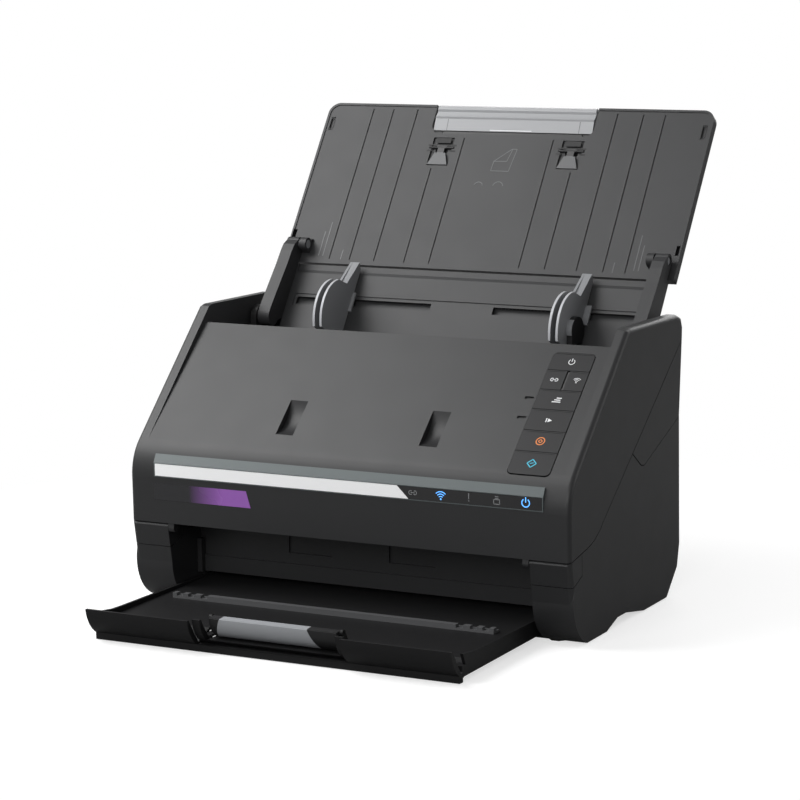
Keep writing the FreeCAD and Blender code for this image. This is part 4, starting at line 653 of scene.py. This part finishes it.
# %% Ledges beside the tongue
LEDGE_NEAR, LEDGE_FAR, LEDGE_LOW, LEDGE_HIGH = 50.6, 58.2, 100.0, 103.3
LEDGE_DEPTH, LEDGE_HALF = -3.1, 0.9
ledges = []
for side in (-1, 1):
    near, far = side * LEDGE_NEAR, side * LEDGE_FAR
    ledges += filled((near, LEDGE_LOW), (far, LEDGE_LOW), (far, LEDGE_HIGH), (near, LEDGE_HIGH))
ink("recess_ledges", ledges, tray_plane, LEDGE_DEPTH, plastics["tray_charcoal"], "upper_panel",
    thick=LEDGE_HALF)
print("ledges:", len(ledges))

# %% Fine lines on the handle
HANDLE_FOOT, FACE_TURN = Vector((0, 103.5, -1.4)), math.atan2(1.6, 8.1)
LINE_X, FACE_LOW, FACE_HIGH = 47.5, 0.2, 8.1
handle_plane = tray_plane @ Matrix.Translation(HANDLE_FOOT * MM) @ Matrix.Rotation(FACE_TURN, 4, "X")
handle_lines = [quad for x in (-LINE_X, LINE_X) for quad in bar((x, FACE_LOW), (x, FACE_HIGH), 0.3)]
ink("handle_lines", handle_lines, handle_plane, 0.02, highlight_and_seam_line, "panel_extension", thick=0.06)
# Painted highlight: a white bar for the glint along the handle's lower edge.
ink("handle_glint", bar((-16, 0.9), (14, 0.9), 0.45), handle_plane, 0.03, ink_and_glint_white, "panel_extension",
    thick=0.06)
print("face of the handle leans by", round(math.degrees(FACE_TURN), 1), "degrees")

# %% [markdown]
# ## Painted highlights on the fin edges, and dark thumb pieces
# The rounded front edge of each guide fin catches the light as a bright curved line. That highlight is
# painted: a thin light-grey band laid along the fin's own outline, an arc through three known points.
# The thumb piece on the outer fin is a separate black moulding, so it gets a cap of its own. These
# outlines are side views drawn about the middle of the body, which stands a little behind the middle
# of the open machine.

# %% An arc and a band along it
BODY_SHIFT = 6.485


def arc_through(first, middle, last, steps):
    """Points on the arc through three (y, z) points, from first to last."""
    a, b, c = Vector(first), Vector(middle), Vector(last)
    corners = ((a, b, c), (b, c, a), (c, a, b))
    area = 2 * sum(p.x * (q.y - r.y) for p, q, r in corners)
    centre = Vector((sum(p.length_squared * (q.y - r.y) for p, q, r in corners) / area,
                     sum(p.length_squared * (r.x - q.x) for p, q, r in corners) / area))
    start, end = (math.atan2(p.y - centre.y, p.x - centre.x) for p in (a, c))
    if end > start:
        end -= 2 * math.pi
    radius = (a - centre).length
    turns = [start + (end - start) * i / steps for i in range(steps + 1)]
    return [centre + radius * Vector((math.cos(t), math.sin(t))) for t in turns]


def band(line, lift, sink):
    """Two lines that hug a given one, lifted above it and sunk below it."""
    outer, inner = [], []
    for index, point in enumerate(line):
        run = line[min(index + 1, len(line) - 1)] - line[max(index - 1, 0)]
        normal = Vector((-run.y, run.x)).normalized()
        outer.append(point + normal * lift)
        inner.append(point - normal * sink)
    return outer, inner


print("middle of the body stands", BODY_SHIFT, "mm further back")

# %% Slabs between two lines
def slab(name, outer, inner, spans, material, body, slot):
    """Closed slabs between two (y, z) lines, one over each (x0, x1) span, as one mesh."""
    points, faces, count = [], [], len(outer)
    across = 2 * count
    for low, high in spans:
        base = len(points)
        for x in (low, high):
            points += [Vector((x, p.x + BODY_SHIFT, p.y)) * MM for p in outer + inner]
        for i in range(count - 1):
            for a, b in ((i, i + 1), (count + i + 1, count + i)):
                faces.append([base + a, base + b, base + across + b, base + across + a])
            faces.append([base + corner for corner in (i + 1, i, count + i, count + i + 1)])
            faces.append([base + across + corner for corner in (i, i + 1, count + i + 1, count + i)])
        for i in (0, count - 1):
            end = [base + i, base + across + i, base + across + count + i, base + count + i]
            faces.append(end if i == 0 else end[::-1])
    mesh = bpy.data.meshes.new(name)
    mesh.from_pydata(points, [], faces)
    shape = bmesh.new()
    shape.from_mesh(mesh)
    bmesh.ops.recalc_face_normals(shape, faces=shape.faces)
    shape.to_mesh(mesh)
    shape.free()
    mesh.materials.append(material)
    return add_piece(name, mesh, body)


fin_front = arc_through((36.4, 159.0), (42.4, 178.0), (60.4, 186.0), 26)
FIN_SPANS = ((79.05, 80.55), (84.05, 85.55))
EDGE_LIFT, EDGE_SINK = 0.14, 0.3
THUMB_MIDDLE, THUMB_HALF, THUMB_GROWTH = 87.4, 1.75, 1.025
thumb_line = [Vector((49.0, 155.0)), Vector((49.5, 160.0))]
thumb_line += arc_through((49.5, 160.0), (54.0, 170.0), (66.5, 159.0), 14)[1:] + [Vector((63.5, 154.5))]
thumb_middle = sum(thumb_line, Vector((0, 0))) / len(thumb_line)
thumb_outline = [thumb_middle + (p - thumb_middle) * THUMB_GROWTH for p in thumb_line]
for side, guide in ((1, "right_guide"), (-1, "left_guide")):
    spans = [tuple(sorted((side * x0, side * x1))) for x0, x1 in FIN_SPANS]
    # Painted highlight bands along the fins' front edges, then the black thumb caps.
    slab(guide + "_painted_highlight", *band(fin_front, EDGE_LIFT, EDGE_SINK), spans, fin_highlight, guide, "guide_grey")
    cap = Matrix(((0, 0, side, 0), (1, 0, 0, BODY_SHIFT * MM), (0, 1, 0, 0), (0, 0, 0, 1)))
    ink(guide + "_thumb", [thumb_outline], cap, THUMB_MIDDLE, plastics["key_black"], guide,
        thick=THUMB_HALF)
print("points along a fin:", len(fin_front))

# %% [markdown]
# ## Screws under the base
# The two halves of the shell are held by screws whose heads sit between the feet. One screw repeated
# at several places is a job for Geometry Nodes: the tree takes a head radius and a height, makes one
# head with its cross slot, and sets a copy on every point of a small mesh.

# %% A node tree that sets screws on points
SLOT_LENGTH, SLOT_WIDTH, SLOT_DROP = 1.3, 0.28, -0.6


def screw_tree():
    """Tree and the identifiers of its inputs; slot sizes are shares of the head's radius and height."""
    tree = bpy.data.node_groups.new("screws_on_points", "GeometryNodeTree")
    sockets = {}
    for name, kind in (("Points", "Geometry"), ("Head Radius", "Float"), ("Head Height", "Float"),
                       ("Finish", "Material")):
        made = tree.interface.new_socket(name, in_out="INPUT", socket_type="NodeSocket" + kind)
        sockets[name] = made.identifier
    tree.interface.new_socket("Screws", in_out="OUTPUT", socket_type="NodeSocketGeometry")
    add, link = tree.nodes.new, tree.links.new
    given, result = add("NodeGroupInput"), add("NodeGroupOutput")
    radius, height = given.outputs["Head Radius"], given.outputs["Head Height"]

    def times(socket, factor):
        product = add("ShaderNodeMath")
        product.operation = "MULTIPLY"
        product.inputs[1].default_value = factor
        link(socket, product.inputs[0])
        return product.outputs[0]

    head, cut = add("GeometryNodeMeshCylinder"), add("GeometryNodeMeshBoolean")
    head.inputs["Vertices"].default_value = 32
    link(radius, head.inputs["Radius"])
    link(height, head.inputs["Depth"])
    cut.operation = "DIFFERENCE"
    link(head.outputs["Mesh"], cut.inputs["Mesh 1"])
    for long_side, thin_side in (("X", "Y"), ("Y", "X")):
        size, drop = add("ShaderNodeCombineXYZ"), add("ShaderNodeCombineXYZ")
        slot, lowered = add("GeometryNodeMeshCube"), add("GeometryNodeTransform")
        link(times(radius, SLOT_LENGTH), size.inputs[long_side])
        link(times(radius, SLOT_WIDTH), size.inputs[thin_side])
        link(height, size.inputs["Z"])
        link(times(height, SLOT_DROP), drop.inputs["Z"])
        link(size.outputs[0], slot.inputs["Size"])
        link(drop.outputs[0], lowered.inputs["Translation"])
        link(slot.outputs["Mesh"], lowered.inputs["Geometry"])
        link(lowered.outputs["Geometry"], cut.inputs["Mesh 2"])
    spread = add("GeometryNodeInstanceOnPoints")
    link(given.outputs["Points"], spread.inputs["Points"])
    link(cut.outputs["Mesh"], spread.inputs["Instance"])
    real, paint = add("GeometryNodeRealizeInstances"), add("GeometryNodeSetMaterial")
    link(spread.outputs["Instances"], real.inputs["Geometry"])
    link(real.outputs["Geometry"], paint.inputs["Geometry"])
    link(given.outputs["Finish"], paint.inputs["Material"])
    link(paint.outputs["Geometry"], result.inputs["Screws"])
    return tree, sockets


screws, sockets = screw_tree()
print("nodes in the screw tree:", len(screws.nodes))

# %% Grow the screws and keep them as a plain mesh
SCREW_LEVEL, SCREW_RADIUS, SCREW_HEIGHT = 0.7, 2.8, 0.9
SCREWS = [(x, y) for x in (-104.0, 0.0, 104.0) for y in (-44.0, 58.0)]
points = bpy.data.meshes.new("screw_points")
points.from_pydata([Vector((x, y, SCREW_LEVEL)) * MM for x, y in SCREWS], [], [])
seed = bpy.data.objects.new("screw_points", points)
bpy.context.scene.collection.objects.link(seed)
grow = seed.modifiers.new("screws", "NODES")
grow.node_group = screws
grow[sockets["Head Radius"]] = SCREW_RADIUS * MM
grow[sockets["Head Height"]] = SCREW_HEIGHT * MM
grow[sockets["Finish"]] = inner_finishes["steel_plate"]
bpy.context.view_layer.update()
graph = bpy.context.evaluated_depsgraph_get()
grown = bpy.data.meshes.new_from_object(seed.evaluated_get(graph))
bpy.data.objects.remove(seed)
add_piece("base_screws", grown, "base")
print("screw faces:", len(grown.polygons))

# %% [markdown]
# ## Floor and surroundings
# The photograph has a paper-white ground and only a faint shadow. A plane is enough for the floor. For
# the camera it gives off some light, so that it reads as paper white while the shadow of the scanner
# stays in its diffuse part. Away from the scanner it gives off more, until floor and backdrop are one
# white. A dark object is usually flanked by black cards, or it reflects white walls and looks grey, so
# reflections see the same surroundings several steps dimmer. The share of white grows between two
# distances from the origin, in metres.

# %% A pale floor
NEAR, FAR, GLOW = 0.20, 0.46, 0.60


def floor_paper():
    finish = Finish("floor_paper")
    fibre = finish.noise(0.01, detail=3.0)
    seen_tint = finish.blend(fibre, (0.48, 0.48, 0.48), (0.50, 0.50, 0.50))
    other_tint = finish.blend(fibre, (0.27, 0.27, 0.27), (0.29, 0.29, 0.29))
    seen_paper = finish.node("BsdfDiffuse", {}, {"Color": seen_tint})
    dim_paper = finish.node("BsdfDiffuse", {}, {"Color": other_tint})
    lift = finish.node("Emission", {}, {"Color": (1, 1, 1, 1), "Strength": GLOW})
    near = finish.node("AddShader", {}, {0: seen_paper.outputs[0], 1: lift.outputs[0]})
    far = finish.node("Emission", {}, {"Color": (1, 1, 1, 1), "Strength": 1.0})
    away = finish.node("VectorMath", {"operation": "LENGTH"}, {0: finish.place})
    share = Field(finish, away.outputs["Value"]).between(NEAR, FAR)
    sweep = finish.node("MixShader", {}, {0: share, 1: near.outputs[0], 2: far.outputs[0]})
    path = finish.node("LightPath", {}, {})
    direct = Field(finish, path.outputs["Is Camera Ray"]).math("MAXIMUM", path.outputs["Is Transmission Ray"])
    pick = finish.node("MixShader", {}, {0: direct, 1: dim_paper.outputs[0], 2: sweep.outputs[0]})
    finish.tree.links.new(pick.outputs[0], finish.end.inputs["Surface"])
    return finish.material


FLOOR = 6.0
floor_mesh = bpy.data.meshes.new("floor")
CORNERS = ((-1, -1), (1, -1), (1, 1), (-1, 1))
floor_mesh.from_pydata([(x * FLOOR, y * FLOOR, 0) for x, y in CORNERS], [], [(0, 1, 2, 3)])
floor_mesh.materials.append(floor_paper())
floor = bpy.data.objects.new("floor", floor_mesh)
bpy.context.scene.collection.objects.link(floor)
print("floor side:", 2 * FLOOR, "m")

# %% White surroundings, dimmer in reflections
AMBIENT = 0.16
REFLECTED = 0.30
world = bpy.data.worlds.new("studio")
bpy.context.scene.world = world
world.use_nodes = True
sky = world.node_tree
sky.nodes.clear()
path = sky.nodes.new("ShaderNodeLightPath")


def sky_light(strength):
    light = sky.nodes.new("ShaderNodeBackground")
    light.inputs["Color"].default_value = (1, 1, 1, 1)
    light.inputs["Strength"].default_value = strength
    return light


def sky_mix(share, low, high):
    mix = sky.nodes.new("ShaderNodeMixShader")
    for socket, value in zip(mix.inputs, (share, low.outputs[0], high.outputs[0])):
        sky.links.new(value, socket)
    return mix


direct = sky.nodes.new("ShaderNodeMath")
direct.operation = "MAXIMUM"
sky.links.new(path.outputs["Is Camera Ray"], direct.inputs[0])
sky.links.new(path.outputs["Is Transmission Ray"], direct.inputs[1])
soft = sky_mix(path.outputs["Is Glossy Ray"], sky_light(AMBIENT), sky_light(REFLECTED))
whole = sky_mix(direct.outputs[0], soft, sky_light(1.0))
out = sky.nodes.new("ShaderNodeOutputWorld")
sky.links.new(whole.outputs[0], out.inputs[0])
print("world ready")

# %% [markdown]
# ## Lamps
# The slope and the upper panel are brighter on the left and fade to the right. That is the rough
# reflection of one large softbox above the left shoulder of the camera's mirror direction, so the main
# lamp hangs there. A weaker one in front lights the upright faces, a long one above the back gives
# the top edges their thin bright line, and two more keep the back and the right side readable when
# the scanner is turned.

# %% Soft lamps
CENTRE = Vector((0.0, 0.0, 0.13))


def softbox(name, direction, distance, width, height, power):
    """Area lamp that looks at the middle of the scanner from a direction."""
    lamp = bpy.data.lights.new(name, "AREA")
    lamp.shape = "RECTANGLE"
    lamp.size, lamp.size_y = width, height
    lamp.energy = power
    holder = bpy.data.objects.new(name, lamp)
    away = Vector(direction).normalized()
    holder.location = CENTRE + away * distance
    holder.rotation_euler = away.to_track_quat("Z", "Y").to_euler()
    bpy.context.scene.collection.objects.link(holder)
    return holder


softbox("key_box", (-0.74, -0.30, 0.80), 1.25, 0.85, 0.95, 19)
softbox("front_fill", (0.10, -1.0, 0.42), 1.9, 1.6, 0.9, 17)
softbox("rim_strip", (0.30, 1.0, 0.85), 1.5, 1.6, 0.35, 7)
softbox("back_fill", (-0.10, 1.0, 0.40), 1.9, 1.6, 0.9, 15)
softbox("right_rear_fill", (1.0, 0.45, 0.40), 1.9, 0.9, 0.9, 6)

# %% [markdown]
# ## The camera
# The portrait was taken from the front right, a little above the machine, with a long lens from
# about 1.8 m away. The same place, lens and small tilt give the same picture.

# %% Camera at the photograph's place
AZIMUTH, ELEVATION, ROLL = math.radians(28.02), math.radians(10.10), math.radians(-1.08)
DISTANCE = 1.76973
FOCAL_PIXELS, PICTURE_PIXELS, SENSOR = 2884.83, 800, 36.0
target = Vector((-4.49, 6.485, 122.74)) * MM
back = Vector((math.sin(AZIMUTH) * math.cos(ELEVATION), -math.cos(AZIMUTH) * math.cos(ELEVATION),
               math.sin(ELEVATION)))
level = Vector((math.cos(AZIMUTH), math.sin(AZIMUTH), 0))
above = back.cross(level)
right = level * math.cos(ROLL) + above * math.sin(ROLL)
up = above * math.cos(ROLL) - level * math.sin(ROLL)
lens = bpy.data.cameras.new("portrait")
lens.sensor_width = SENSOR
lens.lens = SENSOR * FOCAL_PIXELS / PICTURE_PIXELS
lens.clip_start, lens.clip_end = 0.05, 50
camera = bpy.data.objects.new("portrait", lens)
turn = Matrix((right, up, back)).transposed().to_4x4()
camera.matrix_world = Matrix.Translation(target + back * DISTANCE) @ turn
bpy.context.scene.collection.objects.link(camera)
bpy.context.scene.camera = camera
bpy.context.scene.view_settings.view_transform = "Standard"
print("lens:", round(lens.lens, 1), "mm")
